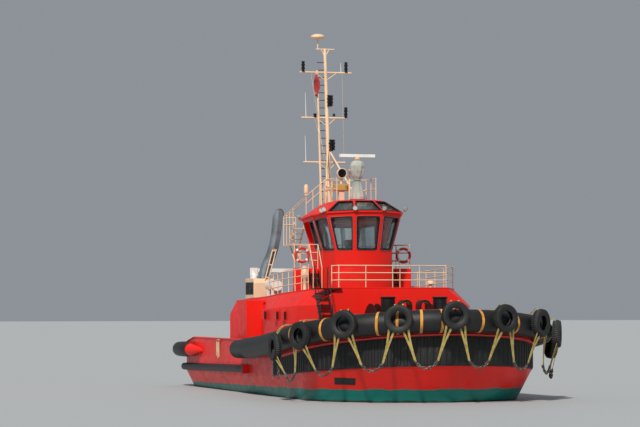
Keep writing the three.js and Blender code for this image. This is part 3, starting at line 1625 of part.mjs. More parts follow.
function propeller() {
  const hub = turned(
    [
      [0, -860],
      [110, -820],
      [190, -640],
      [200, -426],
      [0, -426],
    ],
    20,
    "x",
  );
  const blades = [0, 90, 180, 270].map((angle) => {
    const stations = [
      { r: 150, chord: 240, pitch: 55 },
      { r: 550, chord: 420, pitch: 36 },
      { r: 850, chord: 440, pitch: 27 },
      { r: BLADE_R, chord: 260, pitch: 23 },
    ];
    const rings = stations.map(({ r, chord, pitch }) => {
      const [c, s] = [Math.cos(degrees(pitch)), Math.sin(degrees(pitch))];
      const section = [
        [-0.5, 0],
        [0, 22],
        [0.5, 0],
        [0, -22],
      ];
      return section.map(([u, v]) => [-620 + u * chord * s + v * c, u * chord * c - v * s, r]);
    });
    return loft(rings).rotate([angle, 0, 0]);
  });
  const bore = pin([-660, 0, 0], [-300, 0, 0], boreFor(80));
  return union([hub, ...blades]).subtract(bore).translate([0, 0, PROPELLER_Z]);
}

// A flag hangs from the block, in front of the ladder, and follows the mast's rake.
function flag() {
  const { y, ahead, width, low, thick } = FLAG;
  const top = FLAG_BLOCK.low - SEAT;
  const rings = [low, top].map((z) => {
    const x = mastAt(z) + ahead;
    return [
      [x - thick / 2, y - width / 2, z],
      [x + thick / 2, y - width / 2, z],
      [x + thick / 2, y + width / 2, z],
      [x - thick / 2, y + width / 2, z],
    ];
  });
  return loft(rings);
}

// Assembly

const tug = new THREE.Group();
const hullGroup = new THREE.Group();
const houseGroup = new THREE.Group();
const cabGroup = new THREE.Group();
const mastGroup = new THREE.Group();
const deckGroup = new THREE.Group();
tug.add(hullGroup, houseGroup, cabGroup, mastGroup, deckGroup);

const rim = bulwark();
const tyres = fenderTyres();
hullGroup.add(
  mesh("hull", hull(), RED),
  mesh("skeg", skeg(), DARK_RED),
  mesh("bulwark", rim.fore, RED),
  mesh("bulwark_aft", rim.aft, RED),
  mesh("bow_panel", bowPanel(), BLACK, 0.9),
  mesh("bow_fender", bowFender(), BLACK, 0.9),
  mesh("stern_fender", sternFender(), BLACK, 0.9),
  mesh("side_fender_port", sideFender(), BLACK, 0.9),
  mesh("side_fender_starboard", mirrored(sideFender()), BLACK, 0.9),
  mesh("fender_tyres", tyres.starboard, TYRE_BLACK, 0.95),
  mesh("fender_tyres_port", tyres.port, TYRE_BLACK, 0.95),
);

const walls = houseWalls();
const houseRails = houseRail();
houseGroup.add(
  mesh("deckhouse_fore", walls.fore, RED),
  mesh("deckhouse_aft", walls.aft, RED),
  mesh("deckhouse_top", houseTop(), DARK_RED),
  mesh("deckhouse_door", houseDoor(), RED),
  mesh("deckhouse_rail", houseRails.fore, CREAM),
  mesh("deckhouse_rail_aft", houseRails.aft, CREAM),
  mesh("stair_lower", lowerStair(), BLACK),
  mesh("stair_upper_starboard", upperStair(), BLACK),
  mesh("stair_upper_port", mirrored(upperStair()), BLACK),
);

const cab = cabWalls();
const glass = cabGlass();
cabGroup.add(
  mesh("wheelhouse_base", baseSolid, RED),
  mesh("wheelhouse_front", cab.front, RED),
  mesh("wheelhouse_aft", cab.aft, RED),
  mesh("door_frame_starboard", cab.frame, RED),
  mesh("door_frame_port", mirrored(cab.frame), RED),
  mesh("wheelhouse_door_starboard", cabDoor(), RED),
  mesh("wheelhouse_door_port", mirrored(cabDoor()), RED),
  mesh("glass_front", glass.front, GLASS, 0.1),
  mesh("glass_aft", glass.aft, GLASS, 0.1),
  mesh("wheelhouse_roof", roof(), RED),
  mesh("glass_roof", roofGlass(), GLASS, 0.1),
  mesh("helm_console", helmConsole(), STEEL),
  mesh("helm_chair", chair(), BLACK),
  mesh("landing_rail", landingRail(), CREAM),
  mesh("roof_rail", roofRail(), CREAM),
);

mastGroup.add(
  mesh("mast", mast(), CREAM),
  mesh("flag", flag(), DARK_RED, 0.9),
  mesh("radar_mast", radarMast(), CREAM),
  mesh("radar_cover", radarCover(), CANVAS, 0.95),
  mesh("radar_scanner", radarScanner(), WHITE),
  mesh("searchlight_stand", lightStand(), BRONZE),
  mesh("searchlight", searchlight(), CREAM),
);

deckGroup.add(
  mesh("funnel_casing_port", casing(), CREAM),
  mesh("funnel_casing_starboard", mirrored(casing()), CREAM),
  mesh("exhaust_port", exhaust(), PIPE_GREY, 0.4, 0.6),
  mesh("exhaust_starboard", mirrored(exhaust()), PIPE_GREY, 0.4, 0.6),
  mesh("life_raft", lifeRaft(), WHITE),
  mesh("crane_pedestal", cranePedestal(), WHITE),
  mesh("crane_head", craneHead(), WHITE),
  mesh("crane_arm", craneArm(), WHITE),
  mesh("winch_frame", winchFrame(), BLACK),
  mesh("winch_drum", winchDrum(), BLACK),
  mesh("towing_bitts", towingBitts(), BLACK),
  mesh("stern_bitts", onDeck(bitts(STERN_BITTS)), BLACK),
);

const thrusterSides = [
  ["port", THRUSTER_Y],
  ["starboard", -THRUSTER_Y],
];
for (const [name, y] of thrusterSides) {
  const group = new THREE.Group();
  group.position.set(THRUSTER_X, y, 0);
  group.add(
    mesh(`thruster_${name}`, thruster(), DARK_RED),
    mesh(`propeller_${name}`, propeller(), BRONZE, 0.3, 0.9),
  );
  tug.add(group);
}

export default tug;
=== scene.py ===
# %% [markdown]
# A harbour tugboat. The solid model of the boat already exists: this lesson dresses it.
# A solid model is made for fitting and for motion, so its round parts have flat sides and its
# surfaces have no paint. Each step below takes one part of the boat, says what it is on the
# real vessel, and makes a finer surface for it from a few numbers.

# %% Load the solid model
import math

import bmesh
import bpy
import numpy as np
from mathutils import Matrix, Vector


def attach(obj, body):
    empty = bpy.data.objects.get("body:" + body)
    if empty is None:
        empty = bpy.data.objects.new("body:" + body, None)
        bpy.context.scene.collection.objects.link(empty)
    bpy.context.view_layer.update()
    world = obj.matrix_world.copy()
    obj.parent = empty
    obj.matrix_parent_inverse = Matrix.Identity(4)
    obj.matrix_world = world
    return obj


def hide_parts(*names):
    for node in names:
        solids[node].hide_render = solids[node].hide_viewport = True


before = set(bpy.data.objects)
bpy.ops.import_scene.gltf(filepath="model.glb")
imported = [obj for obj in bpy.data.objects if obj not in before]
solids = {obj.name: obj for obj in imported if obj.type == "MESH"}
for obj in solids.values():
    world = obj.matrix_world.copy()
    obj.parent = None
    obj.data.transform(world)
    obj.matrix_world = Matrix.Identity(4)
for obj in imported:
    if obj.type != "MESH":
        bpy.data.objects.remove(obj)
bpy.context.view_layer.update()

# %% [markdown]
# Every new surface is a grid of points. A row of the grid is one section of the shape, such as
# the ring round a tyre, and the rows follow each other along the shape. Four neighbouring
# points make one face. A grid can close on itself in either direction, and its open ends can
# be capped. With whole-array arithmetic there is no need to visit the points one by one.

# %% Grids of points
def around(count):
    """Angles at equal steps, once round a circle."""
    return np.linspace(0, 2 * np.pi, count, endpoint=False)


def circle(middle, one, two, turn):
    """Points about a middle: one reach times the angle's cosine plus another times its sine."""
    turn = np.asarray(turn)[:, None]
    return np.asarray(middle) + np.cos(turn) * np.asarray(one) + np.sin(turn) * np.asarray(two)


def unit(vectors):
    """Vectors divided by their own lengths."""
    return vectors / np.linalg.norm(vectors, axis=-1, keepdims=True)


def way_along(line):
    """Each point's distance from the line's start, measured along the line."""
    return np.concatenate([[0], np.cumsum(np.linalg.norm(np.diff(line, axis=0), axis=1))])


def at_way(s, way, line):
    """The line's coordinates at distances s, straight between its points."""
    return np.stack([np.interp(s, way, column) for column in line.T], axis=-1)


def quads(rows, columns, loop_rows, loop_columns):
    """Corner numbers of each face: a point, its right neighbour, and the two above them."""
    i = np.arange(rows if loop_rows else rows - 1)[:, None]
    j = np.arange(columns if loop_columns else columns - 1)[None, :]
    above, right = (i + 1) % rows, (j + 1) % columns
    corners = (i * columns + j, i * columns + right, above * columns + right, above * columns + j)
    return np.stack([c.ravel() for c in np.broadcast_arrays(*corners)], axis=1)


def surface(grid, loop_rows=False, loop_columns=True, caps=True):
    """A grid (rows, columns, 3) as points and faces; caps are fans round the end rows' middles."""
    grid = np.asarray(grid, float)
    rows, columns = grid.shape[:2]
    points = grid.reshape(-1, 3)
    faces = quads(rows, columns, loop_rows, loop_columns).tolist()
    if caps and not loop_rows:
        k = np.arange(columns)
        after = (k + 1) % columns
        end = (rows - 1) * columns
        hub = np.full(columns, len(points))
        faces += np.stack([after, k, hub], axis=1).tolist()
        faces += np.stack([end + k, end + after, hub + 1], axis=1).tolist()
        points = np.vstack([points, grid[0].mean(0), grid[-1].mean(0)])
    return points, faces


def joined(shapes):
    """Several (points, faces) as one, each one's corner numbers raised by the points before it."""
    points, faces, start = [], [], 0
    for p, f in shapes:
        points.append(p)
        faces += [[c + start for c in face] for face in f]
        start += len(p)
    return np.vstack(points), faces


def copies(shape, moves):
    """The same shape at many places: moves is a list of 4 x 4 matrices."""
    p, f = shape
    flat = np.hstack([p, np.ones((len(p), 1))])
    return joined([((flat @ np.array(m).T)[:, :3], f) for m in moves])


sample = surface(circle((0, 0, 0), (1, 0, 0), (0, 1, 0), around(6)) + [[[0, 0, 0]], [[0, 0, 1]]])
print("a prism of six sides has", len(sample[0]), "points and", len(sample[1]), "faces")

# %% [markdown]
# Bars, tubes, boxes and turned shapes come up again and again on a boat. A bar is a small ring
# carried from one end to the other. A tube is the same ring carried along a bent line, and it
# needs a direction across the line at each point, which a cross product gives. A turned shape
# is a profile of radius and height swung round an axis.

# %% Bars, tubes, boxes, turned shapes
UPRIGHT = 0.7  # a bar that rises more steeply than this is set out from the x axis


def ring_frame(tangent):
    """Two unit directions across each tangent, from the axis that is least along the line."""
    tangent = unit(tangent)
    away = np.eye(3)[np.argmin(np.abs(tangent).reshape(-1, 3).max(0))]
    side = unit(np.cross(tangent, away))
    return side, np.cross(side, tangent)


def rings(middles, side, up, radius, sides):
    """A circle at each middle: the radius times the cosine along side and the sine along up."""
    turn = around(sides)[:, None]
    r = np.broadcast_to(radius, len(middles))[:, None, None]
    return middles[:, None] + r * (np.cos(turn) * side[:, None] + np.sin(turn) * up[:, None])


def tube(path, radius, sides=12, loop=False):
    """A ring of the radius at each point of the path, across the path's own direction."""
    path = np.asarray(path, float)
    tangent = np.roll(path, -1, 0) - np.roll(path, 1, 0) if loop else np.gradient(path, axis=0)
    return surface(rings(path, *ring_frame(tangent), radius, sides), loop_rows=loop)


def bars(ends, radius, sides=8):
    """Straight round bars between pairs of points (count, 2, 3), worked out all at once."""
    ends = np.asarray(ends, float)
    run = unit(ends[:, 1] - ends[:, 0])
    side = unit(np.cross(run, np.where(np.abs(run[:, 2:]) > UPRIGHT, [[1, 0, 0]], [[0, 0, 1]])))
    ring = rings(np.zeros_like(run), side, np.cross(side, run), radius, sides)
    return joined([surface(grid) for grid in ends[:, :, None] + ring[:, None]])


def boxes(corners):
    """Boxes from pairs of lowest and highest corners (count, 2, 3)."""
    pick = np.array([[(k >> axis) & 1 for axis in range(3)] for k in range(8)])
    faces = [[0, 2, 3, 1], [4, 5, 7, 6], [0, 1, 5, 4], [2, 6, 7, 3], [0, 4, 6, 2], [1, 3, 7, 5]]
    return joined([(np.take_along_axis(pair, pick, 0), faces) for pair in np.asarray(corners, float)])


def turned(profile, sides=32, axis="z", at=(0, 0, 0)):
    """A profile of (radius, height) swung round the z axis or the x axis."""
    profile = np.asarray(profile, float)
    a, b = profile[:, :1] * np.cos(around(sides)), profile[:, :1] * np.sin(around(sides))
    h = np.broadcast_to(profile[:, 1:], a.shape)
    order = (a, b, h) if axis == "z" else (h, a, b)
    return surface(np.stack(order, axis=-1) + np.asarray(at, float))


def lofted(shape_of, hands=(1, -1)):
    """A shape worked out for each hand, 1 for port and -1 for starboard, and joined."""
    return joined([shape_of(hand) for hand in hands])


print("a box has", len(boxes([((0, 0, 0), (1, 1, 1))])[1]), "faces")

# %% [markdown]
# A finished piece is a Blender object at the origin, with its place in its mesh. Its doubled
# points, such as those at a pole, are merged first, and then the faces are turned outwards.
# Faces that meet at a small angle are shaded as one smooth surface, and the others keep a sharp
# edge. A bevel gives an edge the thin line of light that painted steel always shows.

# %% Put a surface into the scene
MERGE = 1e-5
finishes = {}


def linked(name, data):
    """A new object for a mesh, a lamp or a camera, in the scene."""
    made = bpy.data.objects.new(name, data)
    bpy.context.scene.collection.objects.link(made)
    return made


def welded(mesh):
    """A mesh opened for changes, with its doubled points merged."""
    work = bmesh.new()
    work.from_mesh(mesh)
    bmesh.ops.remove_doubles(work, verts=work.verts, dist=MERGE)
    return work


def piece(name, shape, finish, body="boat", replaces=(), outward=True, **look):
    """A piece from (points, faces), with its finish, body and the solids that it stands for."""
    points, faces = shape
    mesh = bpy.data.meshes.new(name)
    mesh.from_pydata(np.asarray(points).tolist(), [], faces)
    work = welded(mesh)
    if outward:
        bmesh.ops.recalc_face_normals(work, faces=work.faces)
    return place(name, mesh, work, finish, body, replaces, **look)


def eased(node, finish, body="boat", bevel=0.012, smooth=35):
    """A welded copy of a solid, with flat faces made whole and its edges rounded a little."""
    mesh = solids[node].data.copy()
    work = welded(mesh)
    bmesh.ops.dissolve_limit(work, angle_limit=math.radians(0.5), verts=work.verts, edges=work.edges)
    return place(node + "_shown", mesh, work, finish, body, node, smooth, bevel)


def place(name, mesh, work, finish, body, replaces, smooth=35, bevel=0.0, solidify=0.0):
    """The object for a mesh: shading, modifiers, finish, and what it rides on."""
    work.to_mesh(mesh)
    work.free()
    mesh.polygons.foreach_set("use_smooth", np.ones(len(mesh.polygons), bool))
    mesh.set_sharp_from_angle(angle=math.radians(smooth))
    made = linked(name, mesh)
    if solidify:
        wall = made.modifiers.new("wall", "SOLIDIFY")
        wall.thickness = solidify
        wall.offset = 0
    if bevel:
        edge = made.modifiers.new("edge", "BEVEL")
        edge.width = bevel
        edge.segments = 2
        edge.limit_method = "ANGLE"
        edge.angle_limit = math.radians(smooth)
        edge.harden_normals = True
    material, slot = finishes[finish]
    mesh.materials.clear()
    mesh.materials.append(material)
    if replaces:
        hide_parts(*([replaces] if isinstance(replaces, str) else replaces))
    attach(made, body)
    print(name, len(mesh.polygons), "faces")
    return made


# %% [markdown]
# Paint on a working boat is never one flat colour. Salt and sun chalk it in large patches,
# rain draws streaks down it, and rollers and rust leave a fine grain. One small function makes
# all the paints: a slow noise mixes a second tone into the colour, a noise that is stretched
# upright mixes in streaks of dirt, and a fine noise drives the roughness and the bump.

# %% Small tools for shader nodes
def linear(red, green, blue):
    """A colour as a screen shows it, from 0 to 255, as the light that it stands for."""
    share = np.array([red, green, blue]) / 255
    light = np.where(share < 0.04045, share / 12.92, ((share + 0.055) / 1.055) ** 2.4)
    return (*light.tolist(), 1.0)


def darker(colour, share):
    """The same colour with only a share of its light."""
    return [c * share for c in colour[:3]] + [1.0]


class Tree:
    """A material's node tree, with short calls for the nodes that this lesson uses."""

    def __init__(self, name):
        self.material = bpy.data.materials.new(name)
        self.material.use_nodes = True
        self.nodes = self.material.node_tree.nodes
        self.links = self.material.node_tree.links
        self.shader = self.nodes["Principled BSDF"]
        self.place = self.add("TexCoord").outputs["Object"]

    def add(self, kind, sockets=None, **settings):
        made = self.nodes.new("ShaderNode" + kind)
        for key, value in settings.items():
            setattr(made, key, value)
        for key, value in (sockets or {}).items():
            self.put(made.inputs[key], value)
        return made

    def put(self, socket, value):
        if isinstance(value, bpy.types.NodeSocket):
            self.links.new(value, socket)
        else:
            socket.default_value = value

    def noise(self, scale, stretch=(1, 1, 1), detail=3.0):
        spread = self.add("Mapping", {"Vector": self.place, "Scale": stretch})
        sockets = {"Vector": spread.outputs[0], "Scale": scale, "Detail": detail}
        return self.add("TexNoise", sockets).outputs["Fac"]

    def ramp(self, value, low, high, start=0.0, end=1.0):
        sockets = {"Value": value, "From Min": low, "From Max": high, "To Min": start, "To Max": end}
        return self.add("MapRange", sockets).outputs[0]

    def sum(self, operation, a, b):
        return self.add("Math", {0: a, 1: b}, operation=operation).outputs[0]

    def mix(self, share, a, b):
        return self.add("Mix", {0: share, 6: a, 7: b}, data_type="RGBA").outputs[2]

    def axes(self):
        return self.add("SeparateXYZ", {0: self.place}).outputs

    def bump(self, height, distance, strength, under=None):
        sockets = {"Height": height, "Distance": distance, "Strength": strength}
        if under is not None:
            sockets["Normal"] = under
        return self.add("Bump", sockets).outputs[0]

    def done(self, name, slot, **sockets):
        for key, value in sockets.items():
            self.put(self.shader.inputs[key.replace("_", " ")], value)
        finishes[name] = (self.material, slot)


print("white is", linear(255, 255, 255), "and a middle grey", linear(128, 128, 128))

# %% [markdown]
# The topsides are a bright red, the rails and the mast a cream, the deck a dark red with grit in
# it, and the gear black or white. Sun fades a paint and rust runs over it, so each is given as a
# colour, its faded tone and its dirt. The size of the patches and the depth of the grain are
# numbers of their own, because a rail has finer patches than a hull.

# %% Paints
def paint(name, slot, colour, faded, dirt, rough=0.4, patch=0.5, streak=0.25, grain=0.001,
          base=None, coat=0.0, gloss=0.4):
    """A paint: colour and faded tone in slow patches, dirt in upright streaks, a fine grain."""
    t = Tree(name)
    slow = t.ramp(t.noise(patch, detail=5.0), 0.35, 0.75)
    tone = base(t, slow) if base else t.mix(slow, colour, faded)
    run = t.noise(2.2, (1, 1, 0.2), 6.0)
    spots = t.noise(9.0, detail=8.0)
    mark = t.sum("MULTIPLY", t.ramp(run, 0.55, 0.8), t.ramp(spots, 0.35, 0.7))
    fine = t.noise(60.0, detail=4.0)
    swell = t.noise(1.1, detail=2.0)
    t.done(
        name, slot, Base_Color=t.mix(t.sum("MULTIPLY", mark, streak), tone, dirt),
        Roughness=t.ramp(t.noise(4.0), 0.3, 0.7, rough - 0.08, rough + 0.12),
        Normal=t.bump(fine, grain, 0.6, t.bump(swell, 0.03, 0.25)),
        Coat_Weight=coat, Coat_Roughness=0.25, Specular_IOR_Level=gloss,
    )
    return t


RED = linear(238, 30, 18)
FADED_RED = linear(222, 38, 27)
RUST = linear(96, 38, 18)
TEAL = linear(4, 116, 106)
GRIME = linear(70, 52, 40)

paint("red_paint", "hull_paint", RED, FADED_RED, RUST, 0.4, coat=0.05, gloss=0.25)
paint("cream", "cream_paint", linear(238, 206, 172), linear(222, 186, 150), RUST, 0.42, 1.2)
paint("white", "white_paint", linear(240, 238, 232), linear(222, 220, 212), GRIME, 0.4, 1.0)
paint("black", "black_paint", linear(17, 18, 19), linear(30, 30, 32), RUST, 0.45, 1.5, gloss=0.3)
paint("deck", "deck_paint", linear(120, 34, 26), linear(100, 38, 30), GRIME, 0.7, 0.8, 0.6, 0.004)
paint("bottom", "hull_bottom", TEAL, linear(20, 48, 42), GRIME, 0.7, 0.8, 0.6, 0.003)
paint("ochre", "ochre_paint", linear(196, 160, 92), linear(176, 140, 78), GRIME, 0.45, 2.0)
paint("grey_green", "cream_paint", linear(150, 166, 148), linear(132, 146, 130), RUST, 0.45, 2.0)
print(len(finishes), "paints")

# %% [markdown]
# The hull has three paints in one: red topsides, a dark green boot top at the waterline, which
# is wider towards the bow, and the same green under water, where weed and slime dull it. The
# height of a point decides, with a little noise so that the edge is wet and uneven. The plates
# are welded in strakes, and the welds show as faint ridges.

# %% Hull paint
BOOT_TOP = 0.36
BOOT_RISE = 0.0135  # the boot top gets this much wider for each metre forward
PLATE_LENGTH, PLATE_HEIGHT = 2.15, 1.3


def hull_tone(t, slow):
    """Red above the boot top's edge, green below it; the edge rises forward and is uneven."""
    x, _, z = t.axes()
    ragged = t.ramp(t.noise(1.6, detail=6.0), 0.3, 0.7, -0.03, 0.05)
    edge = t.sum("ADD", t.sum("MULTIPLY", x, BOOT_RISE), ragged)
    above = t.ramp(t.sum("SUBTRACT", z, edge), BOOT_TOP, BOOT_TOP + 0.012)
    weed = t.ramp(t.sum("SUBTRACT", z, ragged), 0.02, 0.1)
    wet = t.mix(weed, linear(38, 44, 26), TEAL)
    return t.mix(above, wet, t.mix(slow, RED, linear(205, 40, 32)))


def seams(t):
    """Welds: a narrow ridge where the place along the ship is near a whole number of plates."""
    x, _, z = t.axes()
    along = t.sum("PINGPONG", t.sum("DIVIDE", x, PLATE_LENGTH), 0.5)
    up = t.sum("PINGPONG", t.sum("DIVIDE", z, PLATE_HEIGHT), 0.5)
    weld = t.sum("MAXIMUM", t.ramp(along, 0.012, 0.0), t.ramp(up, 0.018, 0.0))
    panel = t.sum("MULTIPLY", t.ramp(along, 0.0, 0.5), t.ramp(up, 0.0, 0.5))
    return t.sum("ADD", t.sum("MULTIPLY", weld, 0.004), t.sum("MULTIPLY", panel, -0.012))


hull_gloss = dict(base=hull_tone, coat=0.05, gloss=0.3)
hull_tree = paint("hull_red", "hull_paint", RED, RED, RUST, 0.38, 0.35, 0.22, **hull_gloss)
hull_normal = hull_tree.shader.inputs["Normal"]
grained = hull_normal.links[0].from_socket
hull_tree.put(hull_normal, hull_tree.bump(seams(hull_tree), 1.0, 0.7, grained))
print("the hull's paint has", len(hull_tree.nodes), "nodes")

# %% [markdown]
# Rubber is almost black, but a fender that rubs on quays and ships turns grey in scuffed
# patches, with salt on top. Tyres are the same but duller. Glass here is tinted, so that the
# wheelhouse looks dark from outside while its chairs can still be made out.

# %% Rubber and glass
def rubber(name, slot, colour, scuffed, rough, scale=1.4, amount=0.8):
    """Black rubber with grey scuffs where two noises meet, and a cut, pitted bump."""
    t = Tree(name)
    wide = t.ramp(t.noise(scale, (1, 1, 2), 7.0), 0.48, 0.72)
    cuts = t.ramp(t.noise(14.0, (1, 1, 3), 8.0), 0.45, 0.75)
    worn = t.sum("MULTIPLY", t.sum("MULTIPLY", wide, cuts), amount)
    pits = t.noise(45.0, detail=6.0)
    t.done(
        name, slot, Base_Color=t.mix(worn, colour, scuffed),
        Roughness=t.ramp(worn, 0.0, 1.0, rough, rough + 0.2),
        Normal=t.bump(pits, 0.003, 0.7, t.bump(cuts, 0.006, 0.6)),
    )


rubber("fender_rubber", "fender_rubber", linear(19, 19, 20), linear(58, 58, 58), 0.5)
rubber("panel_rubber", "fender_rubber", linear(17, 19, 18), linear(40, 40, 37), 0.5, 0.9)
rubber("tyre_rubber", "tyre_rubber", linear(24, 25, 25), linear(64, 64, 62), 0.6, 2.2)
rubber("gasket", "fender_rubber", linear(16, 17, 18), linear(60, 60, 60), 0.5, 5.0, 0.4)


def glazing(name, tint, share, rough=0.03):
    """Tinted glass with faint streaks of salt in its roughness."""
    t = Tree(name)
    t.done(
        name, "window_glass", Base_Color=t.mix(t.noise(0.8), tint, darker(tint, 0.85)),
        Roughness=t.ramp(t.noise(2.5, (1, 1, 0.3), 6.0), 0.5, 0.9, rough, rough + 0.12),
        Transmission_Weight=share, IOR=1.45,
    )


glazing("window_glass", linear(222, 236, 238), 0.95)
glazing("dark_glass", linear(14, 18, 20), 0.0, 0.06)
print(len(finishes), "finishes so far")

# %% [markdown]
# Steel shows in the exhaust pipes, which heat has tinted, and in the chains, which rust. Cloth
# is a weave of two crossed waves, and leather and moulded plastic have a grain of small cells.
# All of them change tone slowly, because nothing on deck is evenly clean.

# %% Steel, cloth, leather
def metal(name, slot, colour, other, rough, scale, stretch=(1, 1, 1)):
    """Bare metal: two tones by noise, roughness and fine scratches from stretched noise."""
    t = Tree(name)
    heat = t.ramp(t.noise(scale, stretch, 6.0), 0.35, 0.7)
    line = t.noise(40.0, (1, 1, 6), 4.0)
    t.done(
        name, slot, Base_Color=t.mix(heat, colour, other), Metallic=0.75,
        Roughness=t.ramp(line, 0.3, 0.7, rough - 0.08, rough + 0.1),
        Normal=t.bump(line, 0.0015, 0.5, t.bump(heat, 0.004, 0.3)),
    )


metal("pipe_steel", "exhaust_steel", linear(158, 170, 178), linear(118, 126, 132), 0.42, 0.9, (1, 1, 1.6))
metal("chain_steel", "exhaust_steel", linear(132, 130, 124), linear(84, 62, 46), 0.5, 6.0)
metal("bright_steel", "exhaust_steel", linear(196, 194, 186), linear(150, 140, 126), 0.45, 6.0)
metal("bronze", "propeller_bronze", linear(188, 150, 84), linear(130, 108, 66), 0.3, 3.0)


def cloth(name, slot, colour, other, weave, folds=1.0):
    """Woven cloth: two crossed waves for its threads, and a slow change of tone."""
    t = Tree(name)
    sockets = {"Vector": t.place, "Scale": weave, "Distortion": 0.4}
    warp, weft = (t.add("TexWave", sockets, bands_direction=way).outputs["Fac"] for way in "ZY")
    soil = t.ramp(t.noise(2.0 * folds, detail=6.0), 0.35, 0.7)
    t.done(
        name, slot, Base_Color=t.mix(soil, colour, other), Roughness=0.85, Sheen_Weight=0.15,
        Normal=t.bump(t.sum("MULTIPLY", warp, weft), 0.002, 0.6),
    )


cloth("grey_canvas", "canvas", linear(186, 188, 178), linear(152, 154, 146), 60)
cloth("webbing", "canvas", linear(190, 168, 92), linear(140, 122, 66), 45, folds=3)
cloth("band_web", "canvas", linear(226, 158, 58), linear(180, 118, 40), 45, folds=3)
cloth("red_flag", "flag_cloth", linear(196, 56, 54), linear(112, 26, 30), 70)
cloth("rope_fibre", "canvas", linear(214, 206, 180), linear(190, 160, 80), 50, folds=3)
cloth("green_tie", "canvas", linear(46, 120, 92), linear(36, 96, 74), 60)
cloth("cover_hem", "canvas", linear(112, 66, 48), linear(84, 52, 40), 60)
cloth("faded_rope", "canvas", linear(206, 96, 88), linear(232, 60, 46), 50, folds=4)


def moulded(name, slot, colour, rough, scale, depth):
    """Moulded plastic or leather: cells of a Voronoi pattern make the grain."""
    t = Tree(name)
    cells = t.add("TexVoronoi", {"Vector": t.place, "Scale": scale}).outputs["Distance"]
    shade = t.mix(t.ramp(t.noise(3.0), 0.3, 0.7), colour, darker(colour, 0.75))
    t.done(name, slot, Base_Color=shade, Roughness=rough, Normal=t.bump(cells, depth, 0.5))


moulded("console_plastic", "console_plastic", linear(92, 96, 100), 0.5, 120, 0.001)
moulded("seat_leather", "seat_leather", linear(34, 34, 38), 0.42, 160, 0.002)
moulded("orange_plastic", "flag_cloth", linear(216, 50, 24), 0.45, 90, 0.001)
print(len(finishes), "finishes")

# %% [markdown]
# The camera stands far off the starboard bow, a little above the water, with a long lens, so
# the boat is seen with hardly any perspective. It looks slightly up and a touch to the left,
# which puts the boat where the photograph has it. The light is a broad soft sun from behind
# the camera, as in a studio with one large lamp, and a pale sky fills the shadows.

# %% Camera, light and floor
OFF_BOW = math.radians(17)
CAMERA_AWAY, CAMERA_HIGH = 120.0, 4.1
LENS, SENSOR = 151.9, 36  # millimetres
LOOK_UP, LOOK_LEFT = math.radians(1.836), math.radians(0.647)
SUN_OFF_BOW, SUN_HIGH = math.radians(-30), math.radians(44)
FLOOR_HALF = 400.0


def direction(heading, rise):
    """The unit direction with a heading from the bow and a rise above the level."""
    level = math.cos(rise)
    return Vector((math.cos(heading) * level, math.sin(heading) * level, math.sin(rise)))


camera = linked("camera", bpy.data.cameras.new("camera"))
camera.data.lens = LENS
camera.data.sensor_width = SENSOR
camera.data.clip_end = 1000
camera.location = CAMERA_AWAY * direction(-OFF_BOW, 0) + Vector((0, 0, CAMERA_HIGH))
aim = direction(math.pi - OFF_BOW + LOOK_LEFT, LOOK_UP)
camera.rotation_euler = aim.to_track_quat("-Z", "Y").to_euler()
bpy.context.scene.camera = camera

sun = linked("sun", bpy.data.lights.new("sun", "SUN"))
sun.data.energy = 3.5
sun.data.angle = math.radians(4)
sun.data.color = (1.0, 0.96, 0.9)
sun.rotation_euler = direction(SUN_OFF_BOW, SUN_HIGH).to_track_quat("Z", "Y").to_euler()

sky = bpy.data.worlds.new("sky")
bpy.context.scene.world = sky
sky.use_nodes = True
background = sky.node_tree.nodes["Background"]
background.inputs["Color"].default_value = (0.7, 0.76, 0.84, 1.0)
background.inputs["Strength"].default_value = 0.38
bpy.context.scene.view_settings.view_transform = "Standard"

floor_tree = Tree("floor")
floor_tree.done("floor", "white_paint", Base_Color=(0.44, 0.46, 0.47, 1.0), Roughness=0.6)
floor_mesh = bpy.data.meshes.new("floor")
floor_corners = np.array([(-1, -1, 0), (1, -1, 0), (1, 1, 0), (-1, 1, 0)]) * FLOOR_HALF
floor_mesh.from_pydata(floor_corners.tolist(), [], [(0, 1, 2, 3)])
floor_mesh.materials.append(floor_tree.material)
linked("floor", floor_mesh)
print("camera at", [round(c, 1) for c in camera.location])

# %% [markdown]
# The hull of a tug is drawn from a few lines: the deck's outline from above, the sheer, which
# is the rise of the deck's edge towards the bow, and the knuckle, where the side turns in. The
# bow is part of an ellipse and the stern is a rounded square, a superellipse. The formulas are
# those of the solid model, with many more points.

# %% The hull's lines
HALF_BEAM = 4.85
BOW_START, BOW_LENGTH = 8.95, 4.6
STEM = BOW_START + BOW_LENGTH
STERN_START, STERN_LENGTH, STERN_SQUARENESS = -9.4, 3.0, 5
TRANSOM = STERN_START - STERN_LENGTH
SHEER_START = -2.0
BULWARK_TOP, BULWARK_RISE, BULWARK_HEIGHT = 2.38, 1.36, 1.27
KNUCKLE, KNUCKLE_RISE = 0.76, 0.72


def sheer(x):
    """Nothing aft of the sheer's start, then a square law up to 1 at the stem."""
    return (np.maximum(np.asarray(x, float) - SHEER_START, 0) / (STEM - SHEER_START)) ** 2


def top_at(x):
    return BULWARK_TOP + BULWARK_RISE * sheer(x)


def deck_at(x):
    return top_at(x) - BULWARK_HEIGHT


def knuckle_at(x):
    return KNUCKLE + KNUCKLE_RISE * sheer(x)


